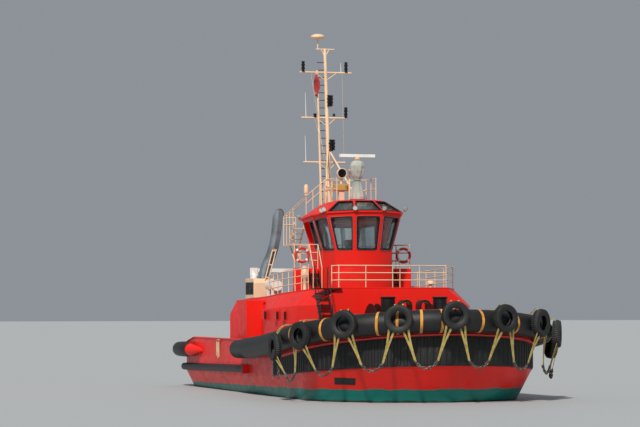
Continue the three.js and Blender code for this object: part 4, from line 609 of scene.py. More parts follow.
def half_outline(bow_steps=40, side_step=0.5, stern_steps=24):
    """Deck edge to port as (x, y), from the stem aft: ellipse, straight side, superellipse."""
    bow = np.linspace(0, np.pi / 2, bow_steps)
    side = np.arange(BOW_START - side_step, STERN_START, -side_step)
    stern = np.linspace(np.pi / 2, 0, stern_steps)
    aft, across = (np.abs(wave(stern)) ** (2 / STERN_SQUARENESS) for wave in (np.cos, np.sin))
    parts = [
        (BOW_START + BOW_LENGTH * np.cos(bow), HALF_BEAM * np.sin(bow)),
        (side, np.full(len(side), HALF_BEAM)),
        (STERN_START - STERN_LENGTH * aft, HALF_BEAM * across),
    ]
    return np.hstack(parts).T


def both_sides(port):
    """A line from starboard round the bow to port, from its port half, which starts at the stem."""
    return np.vstack([port[::-1] * [1, -1], port[1:]])


def normals_of(line, closed=False):
    """Outboard normal at each point: the line's own direction turned a quarter to the right."""
    run = unit(np.roll(line, -1, 0) - np.roll(line, 1, 0) if closed else np.gradient(line, axis=0))
    return np.stack([run[:, 1], -run[:, 0]], axis=1)


def belt(line, out, z, closed=False):
    """A section of (out, z) pairs carried along a plan line; out is measured outboard."""
    flat = line[:, None] + normals_of(line, closed)[:, None] * out[..., None]
    grid = np.concatenate([flat, np.broadcast_to(z, out.shape)[..., None]], axis=-1)
    return surface(grid, loop_rows=closed)


half_edge = half_outline()
loop = np.vstack([half_edge, half_edge[-2:0:-1] * [1, -1]])
print("deck edge has", len(loop), "points")

# %% [markdown]
# The line runs from the stem down the port side, so outboard is on its right: the normals above
# are turned that way. The hull is a loft, a stack of these outlines, each a little smaller
# than the one above, down to the flat of the bottom. The pads that carry the thrusters are
# short upright cylinders under the stern.

# %% Hull shell
HULL_LEVELS = np.array([  # height, stem, transom, half breadth
    [-3.2, 7.5, -3.2, 0.5],
    [-2.95, 9.0, -4.2, 2.7],
    [-2.3, 10.5, -5.6, 3.9],
    [-1.3, 11.6, -8.3, 4.35],
    [-0.7, 12.0, -11.3, 4.42],
    [0.0, 12.35, -12.05, 4.52],
])
THRUSTER_X, THRUSTER_Y, PAD_LOW, PAD_HIGH, PAD_R = -9.3, 2.3, -1.45, -0.3, 0.65
DECK_SHARE = 0.985  # the deck's plate ends just inside the bulwark


def hull_shape():
    """Levels between the given ones are straight blends; above water come knuckle and deck."""
    given = HULL_LEVELS[:, 0]
    z = np.hstack([*(np.linspace(a, b, 4)[:-1] for a, b in zip(given[:-1], given[1:])), given[-1]])
    stem, transom, half = at_way(z, given, HULL_LEVELS[:, 1:]).T[:, :, None]
    x, y = loop.T
    ends = np.where(x > 0, stem / STEM, transom / TRANSOM)
    low = np.stack([x * ends, y * half / HALF_BEAM, z[:, None] + 0 * ends], axis=-1)
    knuckle = np.stack([x, y, knuckle_at(x)], axis=1)
    side = [low[-1] + (knuckle - low[-1]) * share for share in np.linspace(0, 1, 6)[1:]]
    rise = deck_at(x) - knuckle_at(x)
    rim = [knuckle + np.stack([0 * x, 0 * x, rise * share], axis=1) for share in (0.5, 1.0)]
    grid = np.concatenate([low, side, rim])
    rows, columns = grid.shape[:2]
    points, faces = surface(grid, caps=False)
    middle = columns // 2
    k = np.arange(1, middle - 1)
    for start in (0, (rows - 1) * columns):
        faces += (np.stack([k, k + 1, columns - k - 1, columns - k], axis=1) + start).tolist()
        faces += [[start, start + 1, start + columns - 1], [start + middle + k for k in (-1, 0, 1)]]
    return points, faces


pad = [(0, PAD_LOW), (PAD_R, PAD_LOW), (PAD_R, PAD_HIGH), (0, PAD_HIGH)]
pads = [turned(pad, 48, at=(THRUSTER_X, hand * THRUSTER_Y, 0)) for hand in (-1, 1)]
piece("hull_plating", joined([hull_shape(), *pads]), "hull_red", replaces="hull", smooth=20)


def deck_shape():
    """A thin plate over the deck: each station runs from starboard to port between the bulwarks."""
    half = half_edge[1:-1]
    y = half[:, 1:] * np.linspace(-1, 1, 9) * DECK_SHARE
    x = np.broadcast_to(half[:, :1], y.shape)
    top, under = (np.stack([x, y, deck_at(x) + lift], axis=-1) for lift in (0.004, -0.006))
    return surface(np.concatenate([top, under[:, ::-1]], axis=1))


piece("deck_plating", deck_shape(), "deck")

# %% [markdown]
# The bulwark is the plate wall round the deck. A flat cap runs along its top, and triangular
# stays hold it up from the inside. Outside the bow it carries a shelf under the big fender,
# and a smooth cone leads into each end of the stern fender.

# %% Bulwark
CAP_OUT, CAP_IN, CAP_THICK, PLATE = 0.04, 0.19, 0.05, 0.08
CAP_ROUND, CAP_BEND = 0.015, 0.012  # how far the cap's edges are rounded, across and upwards
STERN_FALL, STERN_FALL_LENGTH = 0.32, 2.15
STAY_DEPTH, STAY_THICK, STAY_STEP = 0.42, 0.04, 1.075
SHELF_START, SHELF_DROP, SHELF_OUT, SHELF_THICK, SHELF_ROUND = 4.65, 1.0, 0.13, 0.04, 0.008
STERN_FENDER_R, STERN_FENDER_END_R, STERN_FENDER_Z = 0.34, 0.29, 1.77
STERN_FENDER_END, CONE_END = -9.0, -7.6


def wall_top(x):
    """The bulwark's top, which falls evenly over the quarter and is low across the stern."""
    return top_at(x) - STERN_FALL * np.clip((STERN_START - x) / STERN_FALL_LENGTH, 0, 1)


def bulwark_shape():
    """The wall's outer face, the cap round its top edge, and the wall's inner face."""
    low, high = deck_at(loop[:, 0]), wall_top(loop[:, 0])
    under = high - CAP_THICK
    outer = [0, 0, CAP_OUT - CAP_ROUND, CAP_OUT, CAP_OUT, CAP_OUT - CAP_ROUND]
    out = np.array([*outer, CAP_ROUND - CAP_IN, -CAP_IN, -CAP_IN, -PLATE, -PLATE])
    bend = high - CAP_BEND
    rise = [low, under, under, under + CAP_BEND, bend, high, high, bend, under, under, low]
    z = np.stack(rise, axis=1)
    return belt(loop, np.broadcast_to(out, z.shape), z, closed=True)


def stay_shapes():
    """Tapered plates from the cap down to the deck, each a four-cornered outline made thick."""
    way = way_along(half_edge)
    made = []
    for s in np.arange(1.0, way[-1] - 2.5, STAY_STEP):
        here = at_way(s, way, half_edge)
        normal = normals_of(half_edge)[min(np.searchsorted(way, s), len(half_edge) - 2)]
        run = np.array([-normal[1], normal[0]])
        inward = np.array([PLATE - 0.01, PLATE + STAY_DEPTH, PLATE + 0.07, PLATE - 0.01])
        z = np.repeat([deck_at(here[0]) - 0.02, wall_top(here[0]) - CAP_THICK], 2)
        for hand in (1, -1):
            flat = [here - normal * inward[:, None] + run * STAY_THICK * e for e in (-0.5, 0.5)]
            made.append(surface([np.column_stack([f * [1, hand], z]) for f in flat]))
    return joined(made)


def cone_shape(hand):
    """Round sections that grow aft until they meet the stern fender."""
    x = np.linspace(CONE_END, STERN_FENDER_END, 14)
    stations = [STERN_FENDER_END, (STERN_FENDER_END + CONE_END) / 2, CONE_END]
    radius = np.interp(x, stations, [STERN_FENDER_END_R, 0.19, 0.06])
    middles = np.stack([x, hand * (HALF_BEAM + radius - 0.025), np.full(14, STERN_FENDER_Z)], axis=1)
    return surface(rings(middles, np.array([[0, hand, 0]]), np.array([[0, 0, 1]]), radius, 24))


def shelf_shape():
    """A flat bar round the bow, with its outer edges rounded."""
    z = top_at(bow_line[:, 0]) - SHELF_DROP
    out = [-0.02, SHELF_OUT - SHELF_ROUND, SHELF_OUT, SHELF_OUT, SHELF_OUT - SHELF_ROUND, -0.02]
    low = z - SHELF_THICK
    rise = np.stack([low, low, low + SHELF_ROUND, z - SHELF_ROUND, z, z], axis=1)
    return belt(bow_line, np.broadcast_to(out, rise.shape), rise)


bow_line = both_sides(half_edge[half_edge[:, 0] > SHELF_START])
bulwark_parts = [bulwark_shape(), stay_shapes(), shelf_shape(), lofted(cone_shape)]
piece("bulwark_plating", joined(bulwark_parts), "hull_red", replaces=("bulwark", "bulwark_aft"))

# %% [markdown]
# Under the shelf the bow wears a sheet of black rubber with upright ribs, which the tug leans
# on a ship with. The panel's outer face is a function of the way along the bow and the height:
# a rounded rib repeats every quarter of a metre, and the hollows between are flat.

# %% Ribbed bow panel
RIB_SPACING, RIB_OUT, PANEL_THICK = 0.26, 0.035, 0.07


def resampled(line, step):
    """The same plan line with points at equal steps along it, and their distances."""
    way = way_along(line)
    even = np.linspace(0, way[-1], int(way[-1] / step) + 1)
    return at_way(even, way, line), even


def panel_shape():
    """The section at each place along the bow: a flat plate, and a rib where the cosine is high."""
    line, along = resampled(bow_line, RIB_SPACING / 8)
    rib = np.clip(np.cos(2 * np.pi * along / RIB_SPACING) * 2, 0, 1)[:, None]
    x = line[:, 0]
    low, high = knuckle_at(x) + 0.02, top_at(x) - SHELF_DROP - SHELF_THICK - 0.006
    share = np.array([0, 0, 0.04, 0.06, 0.94, 0.96, 1, 1])
    deep = np.array([0, 1, 1, 1, 1, 1, 1, 0])
    ribbed = np.array([0, 0, 0, 1, 1, 0, 0, 0])
    out = 0.001 + deep * (PANEL_THICK - RIB_OUT) + ribbed * RIB_OUT * rib
    return belt(line, out, low[:, None] + (high - low)[:, None] * share)


piece("bow_panel_ribs", panel_shape(), "panel_rubber", replaces="bow_panel")

# %% [markdown]
# The great bow fender is a rubber cylinder bent round the bow. It thins a little on its way
# aft and ends in a rounded nose. Its after part is ribbed on its underside. Orange webbing is
# wound round it in places.

# %% Bow fender
FENDER_R, FENDER_DROP, FENDER_END, FENDER_TAPER, FENDER_NOSE = 0.45, 0.45, 0.0, 2.5, 0.4
FENDER_RIB_DEEP, FENDER_RIBBED_TO = 0.085, 2.6


def plan_from(end):
    """The deck edge from starboard at x = end, round the bow, to port at x = end."""
    return both_sides(np.vstack([half_edge[half_edge[:, 0] > end], [[end, HALF_BEAM]]]))


def fender_radius(x):
    """Full size forward, an eighth thinner over the last part, and a rounded nose."""
    aft = np.clip(1 - (x - FENDER_END) / FENDER_TAPER, 0, 1)
    nose = np.clip(1 - (x - FENDER_END) / FENDER_NOSE, 0, 1)
    return FENDER_R * (1 - 0.13 * aft) * np.sqrt(1 - 0.88 * nose**2)


def fender_shape():
    """A circle at each place, less a groove below that follows a squared cosine along the way."""
    line, along = resampled(plan_from(FENDER_END), 0.05)
    x, turn = line[:, 0], around(28)
    radius = fender_radius(x)[:, None]
    groove = FENDER_RIB_DEEP * (x < FENDER_RIBBED_TO) * np.cos(np.pi * along / RIB_SPACING) ** 2
    r = radius - groove[:, None] * np.clip(-np.sin(turn + 0.35) * 1.8, 0, 1)
    z = (top_at(x) - FENDER_DROP)[:, None] + r * np.sin(turn)
    return belt(line, radius + 0.001 + r * np.cos(turn), z)


piece("bow_fender_rubber", fender_shape(), "fender_rubber", replaces="bow_fender", smooth=40)

# %% [markdown]
# Nine old tyres hang over the fender. Real ones are hollow, so the section here is a thin
# wall from one bead out round the tread to the other and back along the inside. The tread's
# lugs come from letting the radius step in and out with the angle round the tyre.

# %% Places beside the bow
TYRE_R, TYRE_WIDE, TYRE_SPACING, TYRE_SHIFT = 0.575, 0.34, 2.25, -0.17
TYRE_DROPS = np.array([0.24, 0.32, 0.36, 0.6, 0.85])  # from the stem aft, below the bulwark's top
TYRE_OUT = FENDER_R * 2 + TYRE_WIDE / 2
tyre_curve = plan_from(-3.0)
curve_normal = normals_of(tyre_curve)
curve_outside = tyre_curve + curve_normal * TYRE_OUT
curve_way = way_along(curve_outside)
curve_way -= np.interp(0, curve_outside[:, 1], curve_way)


def outboard_at(along):
    """The level direction outboard, a way round from the stem."""
    return np.append(at_way(along, curve_way, curve_normal), 0.0)


def beside_bow(along, out, drop):
    """Points a way round from the stem (positive to port), outboard, below the bulwark's top."""
    along, out, drop = np.broadcast_arrays(np.asarray(along, float), out, drop)
    edge = at_way(along, curve_way, tyre_curve)
    flat = edge + at_way(along, curve_way, curve_normal) * out[..., None]
    return np.stack([flat[..., 0], flat[..., 1], top_at(edge[..., 0]) - drop], axis=-1)


tyre_numbers = np.arange(9) - 4
tyre_places = tyre_numbers * TYRE_SPACING + TYRE_SHIFT
tyre_drops = TYRE_DROPS[np.abs(tyre_numbers)]
print("tyres at", tyre_places, "metres round from the stem")

# %% [markdown]
# A tyre's section is a list of radii and heights that goes once round its wall. Over the tread
# the radius drops at every other lug, and the lower half of the tread is a quarter lug late, so
# that the lugs are slanted. Each tyre is turned a little differently about its axle.

# %% Tyres
LUGS, LUG_DEEP, GROOVE_DEEP = 40, 0.016, 0.012
TYRE_SECTION = np.array([  # radius, height, share of the lug's depth
    [0.30, -.105, 0], [0.33, -.128, 0], [0.43, -.165, 0], [0.515, -.158, 0.35], [0.548, -.140, 1],
    [0.556, -.115, 1], [0.566, -.06, 1], [0.575, 0, 1], [0.566, .06, 1], [0.556, .115, 1],
    [0.548, .140, 1], [0.515, .158, 0.35], [0.43, .165, 0], [0.33, .128, 0], [0.30, .105, 0],
    [0.325, .085, 0], [0.43, .118, 0], [0.50, .09, 0], [0.515, 0, 0], [0.50, -.09, 0],
    [0.43, -.118, 0], [0.325, -.085, 0],
])


def tyre_shape(turn_off):
    """Section round the tyre's wall, swung about its axle; the tread's radius steps at each lug."""
    r, h, tread = TYRE_SECTION.T
    steps = np.arange(LUGS * 4)
    lug = np.where(steps % 4 < 2, 0.0, -LUG_DEEP)[:, None]
    radius = r + np.where(h > 0, lug, np.roll(lug, 1)) * tread - GROOVE_DEEP * np.isin(np.arange(22), (5, 9))
    turn = (around(LUGS * 4) + turn_off)[:, None]
    grid = np.stack([h + 0 * radius, radius * np.cos(turn), radius * np.sin(turn)], axis=-1)
    return surface(grid, loop_rows=True)


def beside_frame(along, out, drop):
    """A matrix whose x axis points outboard at a place beside the bow."""
    ahead = outboard_at(along)
    turn = Matrix.Rotation(math.atan2(ahead[1], ahead[0]), 4, "Z")
    return Matrix.Translation(beside_bow(along, out, drop)) @ turn


tyres = [
    copies(tyre_shape(0.3 * i), [beside_frame(along, TYRE_OUT, drop)])
    for i, (along, drop) in enumerate(zip(tyre_places, tyre_drops))
]
tyre_nodes = ("fender_tyres", "fender_tyres_port")
piece("fender_tyres_shown", joined(tyres), "tyre_rubber", replaces=tyre_nodes, smooth=30)

# %% [markdown]
# Flat webbing holds the tyres. A strap is a thin rectangle carried along a path; its flat side
# stays turned outboard. From each tyre two strands run down and in to a shackle, and a short
# chain joins the shackles of two neighbours. A chain is one link copied along a sagging line,
# every second link turned a quarter.

# %% Tyre straps
STRAP_WIDE, STRAND_WIDE, STRAP_THICK = 0.06, 0.08, 0.02
SHACKLE_OUT, SHACKLE_SHARE, SHACKLE_DROP = 0.86, 0.31, 2.03
STRAND_STARTS, STRAND_LEANS = (0.16, 0.36), (0.03, -0.03)
CHAIN_SAG = 0.24


def ribbon(path, wide, face):
    """A rectangle carried along a path: wide across the path, thin along the face direction."""
    tangent = unit(np.gradient(path, axis=0))
    across = unit(np.cross(np.broadcast_to(face, path.shape), tangent))[:, None]
    through = np.cross(tangent, across[:, 0])[:, None]
    corner = np.array([(1, 1), (-1, 1), (-1, -1), (1, -1)]) * 0.5
    return surface(path[:, None] + across * corner[:, :1] * wide + through * corner[:, 1:] * STRAP_THICK)


def eased_path(points, count=14):
    """A smooth line through a few points: each coordinate follows a cubic between them."""
    points = np.asarray(points, float)
    way = way_along(points)
    slope = np.gradient(points, way, axis=0)
    s = np.linspace(0, way[-1], count)
    k = np.clip(np.searchsorted(way, s, side="right") - 1, 0, len(points) - 2)
    h = (way[k + 1] - way[k])[:, None]
    t = (s - way[k])[:, None] / h
    level = points[k] * (1 + 2 * t) * (1 - t) ** 2 + points[k + 1] * t**2 * (3 - 2 * t)
    return level + h * t * (slope[k] * (1 - t) ** 2 + slope[k + 1] * t * (t - 1))


def strand(end, drop, hook, start, lean):
    """A strap from a tyre's foot to its shackle, through a middle that hangs a little lower."""
    toward = np.sign(hook - end)
    top = drop + math.sqrt(TYRE_R**2 - start**2) - 0.12
    middle = (end + toward * start + hook) / 2 + toward * lean
    path = beside_bow(
        [end + toward * start, middle, hook - toward * 0.03],
        [TYRE_OUT + 0.08, 0.96, SHACKLE_OUT],
        [top, (top + SHACKLE_DROP) / 2 + 0.06, SHACKLE_DROP - 0.02],
    )
    return ribbon(eased_path(path), STRAND_WIDE, outboard_at(end))


def hanger(along, drop):
    """A strap from a tyre's head inboard over the fender to the bulwark's cap."""
    reach = drop - TYRE_R + 0.08
    outs = [TYRE_OUT + 0.03, TYRE_OUT - 0.1, 0.7, 0.3, -0.1]
    return eased_path(beside_bow(along, outs, [reach + 0.1, reach - 0.1, -0.03, -0.02, -0.012]))


straps, shackles, chain_runs = [], [], []
for i in range(8):
    ends, drops = tyre_places[i:i + 2], tyre_drops[i:i + 2]
    hooks = ends + (ends[::-1] - ends) * SHACKLE_SHARE
    for end, drop, hook in zip(ends, drops, hooks):
        straps += [strand(end, drop, hook, *way) for way in zip(STRAND_STARTS, STRAND_LEANS)]
        shackles.append(beside_bow(hook, SHACKLE_OUT, SHACKLE_DROP))
    share = np.linspace(0, 1, 9)
    sag = SHACKLE_DROP + 0.03 + CHAIN_SAG * (1 - (2 * share - 1) ** 2)
    chain_runs.append(beside_bow(hooks[0] + (hooks[1] - hooks[0]) * share, SHACKLE_OUT - 0.02, sag))
for along, drop in zip(tyre_places, tyre_drops):
    for side in (-0.16, 0.16):
        straps.append(ribbon(hanger(along + side, drop), STRAP_WIDE, outboard_at(along) + [0, 0, 0.8]))
piece("tyre_straps", joined(straps), "webbing", smooth=50)

# %% [markdown]
# Orange webbing is wound round the fender in ten places, to hold it and the tyres' straps. Each
# band is the fender's own section, a little larger, carried a short way along the bow. A slow
# wave in its radius keeps it from looking machined.

# %% Fender bands
BAND_PLACES = [-8.0, -5.95, -3.35, -2.5, -1.5, -0.63, 1.13, 3.0, 5.45, 7.8]
BAND_WIDE, BAND_LOW, BAND_HIGH = 0.11, 0.004, 0.018


def band_shape(along):
    """A flat loop round the fender: the fender's own section, a little larger, and made wide."""
    turn = around(36)
    wave = 1 + 0.01 * np.sin(3 * turn + along)
    r = fender_radius(beside_bow(along, 0, 0)[0])
    sections = []
    for grow, shift in ((BAND_LOW, -0.5), (BAND_HIGH, -0.5), (BAND_HIGH, 0.5), (BAND_LOW, 0.5)):
        across, up = (r + grow) * np.cos(turn) * wave, (r + grow) * np.sin(turn) * wave
        sections.append(beside_bow(along + shift * BAND_WIDE, r + across, FENDER_DROP - up))
    return surface(sections, loop_rows=True)


piece("fender_bands", joined([band_shape(along) for along in BAND_PLACES]), "band_web", smooth=50)

# %% [markdown]
# The chains hang between the shackles. A link is a ring of wire carried round a long oval, and
# a chain is one link copied along the line, every second link turned a quarter. Modelling one
# link and copying it keeps every link the same size, as real chain is.

# %% Chains and shackles
def link_shape(long):
    """A chain link: a wire an eighth as thick as the link is long, round an oval half as wide."""
    turn, reach = around(20), long / 4
    x = reach * (np.cos(turn) + np.sign(np.cos(turn)))
    oval = np.stack([x, reach * np.sin(turn), 0 * turn], axis=1)
    return tube(oval, long / 8, 8, loop=True)


def chain(path, long=0.17):
    """Links placed every three quarters of their length along a line, turned in turns."""
    way = way_along(path)
    moves = []
    for k, s in enumerate(np.arange(0, way[-1] + 0.01, long * 0.74)):
        a, b = at_way(s + np.array([-0.03, 0.03]), way, path)
        ahead = Vector(b - a).to_track_quat("X", "Z").to_matrix().to_4x4()
        moves.append(Matrix.Translation((a + b) / 2) @ ahead @ Matrix.Rotation(math.pi / 2 * (k % 2), 4, "X"))
    return copies(link_shape(long), moves)


tail = beside_bow(np.full(6, tyre_places[0] - 0.05), 0.9, np.linspace(1.42, 2.1, 6))
piece("fender_chains", joined([chain(run) for run in [*chain_runs, tail]]), "chain_steel", smooth=50)
shackle_circles = [circle(at, (0.05, 0, 0), (0, 0, 0.07), around(16)) for at in shackles]
shackle_shape = joined([tube(points, 0.018, 8, loop=True) for points in shackle_circles])
piece("fender_shackles", shackle_shape, "chain_steel", smooth=50)

# %% [markdown]
# Along each side runs a D-shaped rubbing fender, and a fat round one crosses the stern. The D
# is a flat back, two short slopes and a rounded face, carried along the deck's edge.

# %% Side and stern fenders
SIDE_TOP, SIDE_RISE, SIDE_HIGH, SIDE_OUT, SIDE_FOREMOST, SIDE_LIP = 1.09, 0.18, 0.33, 0.26, 0.6, 0.06


def edge_aft_of(x):
    """The port deck edge from a place on the straight side, aft and round to the middle."""
    return np.vstack([[[x, HALF_BEAM]], half_edge[half_edge[:, 0] < x - 0.1]])


def side_fender_shape(hand):
    """A D: a flat back, two short slopes and a rounded face, along the side to the quarter."""
    line = edge_aft_of(SIDE_FOREMOST)
    line = line[line[:, 1] > 2.6]
    top = SIDE_TOP + SIDE_RISE * (line[:, 0] - TRANSOM) / (SIDE_FOREMOST - TRANSOM)
    turn = np.linspace(-np.pi / 2, np.pi / 2, 15)
    face = SIDE_LIP + (SIDE_OUT - SIDE_LIP) * np.cos(turn) ** 0.6 * 0.999
    out = np.concatenate([[0.001], face, [0.001]])
    up = (np.concatenate([[-1.0], np.sin(turn), [1.0]]) - 1) * SIDE_HIGH / 2
    points, faces = belt(line, np.broadcast_to(out, (len(line), 17)), top[:, None] + up)
    return points * [1, hand, 1], faces


for side_name, hand in (("port", 1), ("starboard", -1)):
    node = "side_fender_" + side_name
    piece("side_rubber_" + side_name, side_fender_shape(hand), "fender_rubber", replaces=node)
    inner, outer = sorted((hand * HALF_BEAM, hand * (HALF_BEAM + SIDE_OUT + 0.02)))
    plate = [((SIDE_FOREMOST, inner, 0.9), (SIDE_FOREMOST + 0.03, outer, 1.3))]
    piece("side_end_plate_" + side_name, boxes(plate), "red_paint", bevel=0.006)

stern_half = edge_aft_of(STERN_FENDER_END)
stern_line = np.vstack([stern_half, stern_half[-2::-1] * [1, -1]])
stern_reach = [STERN_START, STERN_FENDER_END]
stern_r = np.interp(stern_line[:, 0], stern_reach, [STERN_FENDER_R, STERN_FENDER_END_R])[:, None]
stern_out = stern_r + 0.001 + stern_r * np.cos(around(28))
stern_shape = belt(stern_line, stern_out, STERN_FENDER_Z + stern_r * np.sin(around(28)))
piece("stern_rubber", stern_shape, "fender_rubber", replaces="stern_fender", smooth=40)
eased("skeg", "bottom", bevel=0.02)

# %% [markdown]
# The deckhouse is a long steel box whose upper walls lean in. Its solids already have the right
# shape, so a welded copy with slightly rounded edges is enough, in the hull's red. Rails stand
# round its top: posts at even steps and three level bars, all from the corners of a line.

# %% Deckhouse
HOUSE_TOP, HOUSE_SLOPE, HOUSE_FRONT = 4.64, 0.037, 6.16
DECK_IN = 0.14
HOUSE_PLAN = np.array([[-9.0, 2.9], [-3.3, 2.9], [0, 3.2], [4.8, 3.2], [6.16, 2.44]])  # x, half breadth


def house_top_at(x):
    return HOUSE_TOP + (np.asarray(x, float) - HOUSE_FRONT) * HOUSE_SLOPE


def house_deck_shape():
    """The dark deck laid on the house's top: a thin plate, a little inside the plan's edge."""
    x = np.array([HOUSE_FRONT - DECK_IN, 4.8, 0, -3.3, -9.0 + DECK_IN])
    half = np.interp(x, *HOUSE_PLAN.T) - DECK_IN
    ring = [(-half, 0.003), (half, 0.003), (half, -0.01), (-half, -0.01)]
    return surface(np.stack([np.stack([x, y, house_top_at(x) + up], axis=1) for y, up in ring], axis=1))


for node, bevel in (("deckhouse_fore", 0.025), ("deckhouse_aft", 0.025), ("deckhouse_top", 0.01)):
    eased(node, "red_paint", bevel=bevel)
eased("deckhouse_door", "red_paint", "house_door", bevel=0.006)
piece("deckhouse_deck", house_deck_shape(), "deck")

# %% [markdown]
# A rail is posts at even steps and level bars between them, all of the same round bar, with a
# small knob where they cross. Only the corners of the line of feet are given, and the steps are
# worked out. Where the ground falls away below the line, the posts reach further down.

# %% Rails
RAIL_R = 0.021
KNOB = [(0, -0.03), (0.02, -0.022), (0.03, 0), (0.02, 0.022), (0, 0.03)]


def railing(line, height, levels, spacing, foot=0.06, fall=None):
    """Level bars along a line of feet, and posts at even steps, longer where the ground falls."""
    line = np.asarray(line, float)
    lifts = [np.array([0, 0, height * level / levels]) for level in range(1, levels + 1)]
    ends, knobs = [], []
    for a, b in zip(line[:-1], line[1:]):
        ends += [(a + lift, b + lift) for lift in lifts]
        count = max(1, round(np.linalg.norm((b - a)[:2]) / spacing))
        posts = a + (b - a) * (np.arange(count + 1) / count)[:, None]
        depth = np.broadcast_to(foot if fall is None else foot + fall(posts[:, 0]), len(posts))
        ends += [(post - [0, 0, deep], post + lifts[-1]) for post, deep in zip(posts, depth)]
        knobs += [post + lift for post in posts for lift in lifts]
    return joined([bars(ends, RAIL_R), *(turned(KNOB, 8, at=knob) for knob in knobs)])


rail_lines = [  # to port of the middle, from the port quarter round the front, then starboard
    [(-3.3, 2.84), (0, 3.14), (4.8, 3.14), (6.1, 2.38), (6.1, -2.38), (5.75, -2.585)],
    [(4.1, -3.14), (0, -3.14), (-3.3, -2.84)],
]
house_rail = []
for line in rail_lines:
    house_rail.append(railing([(x, y, float(house_top_at(x))) for x, y in line], 0.92, 3, 1.15))
house_rail_nodes = ("deckhouse_rail", "deckhouse_rail_aft")
piece("deckhouse_rail_bars", joined(house_rail), "cream", replaces=house_rail_nodes, smooth=50)

# %% [markdown]
# The wheelhouse stands on a base with a landing on each side. Its walls lean outwards from the
# sill to the eaves, so that the panes throw no reflections at the crew, and the eaves are a
# decagon. Moving every wall of a plan inwards by its own distance and crossing the neighbours
# gives the plan at any height.

# %% Plans of the wheelhouse
FLOOR, SILL, EAVES = 5.5, 6.22, 7.92
FALL_START, FALL_SLOPE = 2.71, 0.075
WINDOW_LOW, WINDOW_HIGH, WINDOW_POST = 6.3, 7.74, 0.105
starboard_eaves = np.array([[2.71, -0.64], [2.09, -1.71], [0.8, -2.04], [-0.92, -2.04], [-2.15, -1.15]])
eaves_plan = np.vstack([starboard_eaves, starboard_eaves[::-1] * [1, -1]])
wall_leans = np.array([0.31, 0.44, 0.49, 0.42, 0.2, 0.42, 0.49, 0.44, 0.31, 0.3])


def inset(outline, distances):
    """Each wall's line moved inwards by its distance, and neighbouring lines crossed."""
    run = np.roll(outline, -1, 0) - outline
    normal = unit(np.stack([-run[:, 1], run[:, 0]], axis=1))
    normal = normal * np.sign(((outline.mean(0) - outline) * normal).sum(1))[:, None]
    offset = (normal * outline).sum(1) + distances
    before, before_offset = np.roll(normal, 1, 0), np.roll(offset, 1)
    det = before[:, 0] * normal[:, 1] - before[:, 1] * normal[:, 0]
    x = (before_offset * normal[:, 1] - offset * before[:, 1]) / det
    y = (before[:, 0] * offset - normal[:, 0] * before_offset) / det
    return np.stack([x, y], axis=1)


sill_plan = inset(eaves_plan, wall_leans)


def fall_at(x):
    """How far the eaves and the roof have fallen at a place along the boat."""
    return FALL_SLOPE * (FALL_START - x)


def wall_corner(k, z):
    """A corner of the wheelhouse's outer wall at a height between the sill and the eaves."""
    flat = eaves_plan[k] + (sill_plan[k] - eaves_plan[k]) * (EAVES - z) / (EAVES - SILL)
    return np.array([*flat, z])


def window_quad(i, start=0.0, end=1.0):
    """Four corners of the window in wall i, from its lower fore corner round."""
    walls = [i % 10, (i + 1) % 10]
    corners = []
    for z, falling in ((WINDOW_LOW, 0), (WINDOW_HIGH, 1)):
        a, b = (wall_corner(k, z - falling * fall_at(eaves_plan[k, 0])) for k in walls)
        length = np.linalg.norm(b - a)
        pair = [a + (b - a) * share for share in (start + WINDOW_POST / length, end - WINDOW_POST / length)]
        corners += pair[::-1] if falling else pair
    return np.array(corners)


print("sill plan", sill_plan[:3].round(2).tolist())

# %% [markdown]
# Each window sits in a black rubber gasket with rounded corners. The corner is a curve drawn
# from a point on one edge to a point on the next and pulled towards the corner itself. The
# gasket is a low frame: four loops of points, outer and inner, at the wall and a little proud.

# %% Window gaskets
CAB_CENTRE = np.array([0.2, 0, 7.0])
WINDOW_SPANS = {2: (0, 0.48), 6: (0.52, 1.0)}  # the walls whose window shares them with a door
WINDOW_ROUND = 0.11


def rounded(quad, radius, steps=7):
    """A quad's outline with each corner replaced by a quadratic curve towards that corner."""
    before, after = (unit(np.roll(quad, k, 0) - quad) * radius for k in (1, -1))
    t = np.linspace(0, 1, steps)[None, :, None]
    a, c, b = (quad + before)[:, None], quad[:, None], (quad + after)[:, None]
    return ((1 - t) ** 2 * a + 2 * t * (1 - t) * c + t**2 * b).reshape(-1, 2)


def frame_shape(quad, grow, shrink, corner, proud, back):
    """A closed band round an opening: outer and inner outlines at the back and at the front."""
    origin = quad[0]
    along = unit(quad[1] - origin)
    out = unit(np.cross(along, quad[3] - origin))
    up = np.cross(out, along)
    out = out * np.sign(np.dot(out, origin - CAB_CENTRE))
    flat = np.stack([(quad - origin) @ along, (quad - origin) @ up], axis=1)
    loops = []
    for distance, depth, radius in (
        (-grow, back, corner + grow), (-grow, proud, corner + grow),
        (shrink, proud, corner), (shrink, back, corner),
    ):
        outline = rounded(inset(flat, np.full(4, distance)), radius)
        loops.append(origin + outline[:, :1] * along + outline[:, 1:] * up + out * depth)
    return surface(loops, loop_rows=True)


def frames(name, quads, finish, *sizes):
    """A piece of one band round each opening."""
    piece(name, joined([frame_shape(quad, *sizes) for quad in quads]), finish, smooth=50)


windows = [window_quad(i, *WINDOW_SPANS.get(i, (0.0, 1.0))) for i in range(10)]
frames("window_gaskets", windows, "gasket", 0.02, 0.035, WINDOW_ROUND, 0.016, -0.08)
frames("window_beads", windows, "pipe_steel", 0.026, -0.018, WINDOW_ROUND, 0.019, -0.01)

# %% [markdown]
# The wheelhouse's walls, doors, roof and panes are flat plates, so welded copies of their solids
# are enough. Each door rides on its own body, so that it swings with its pane. The solids'
# edges get a small bevel, and the panes none, because they sit inside their frames.

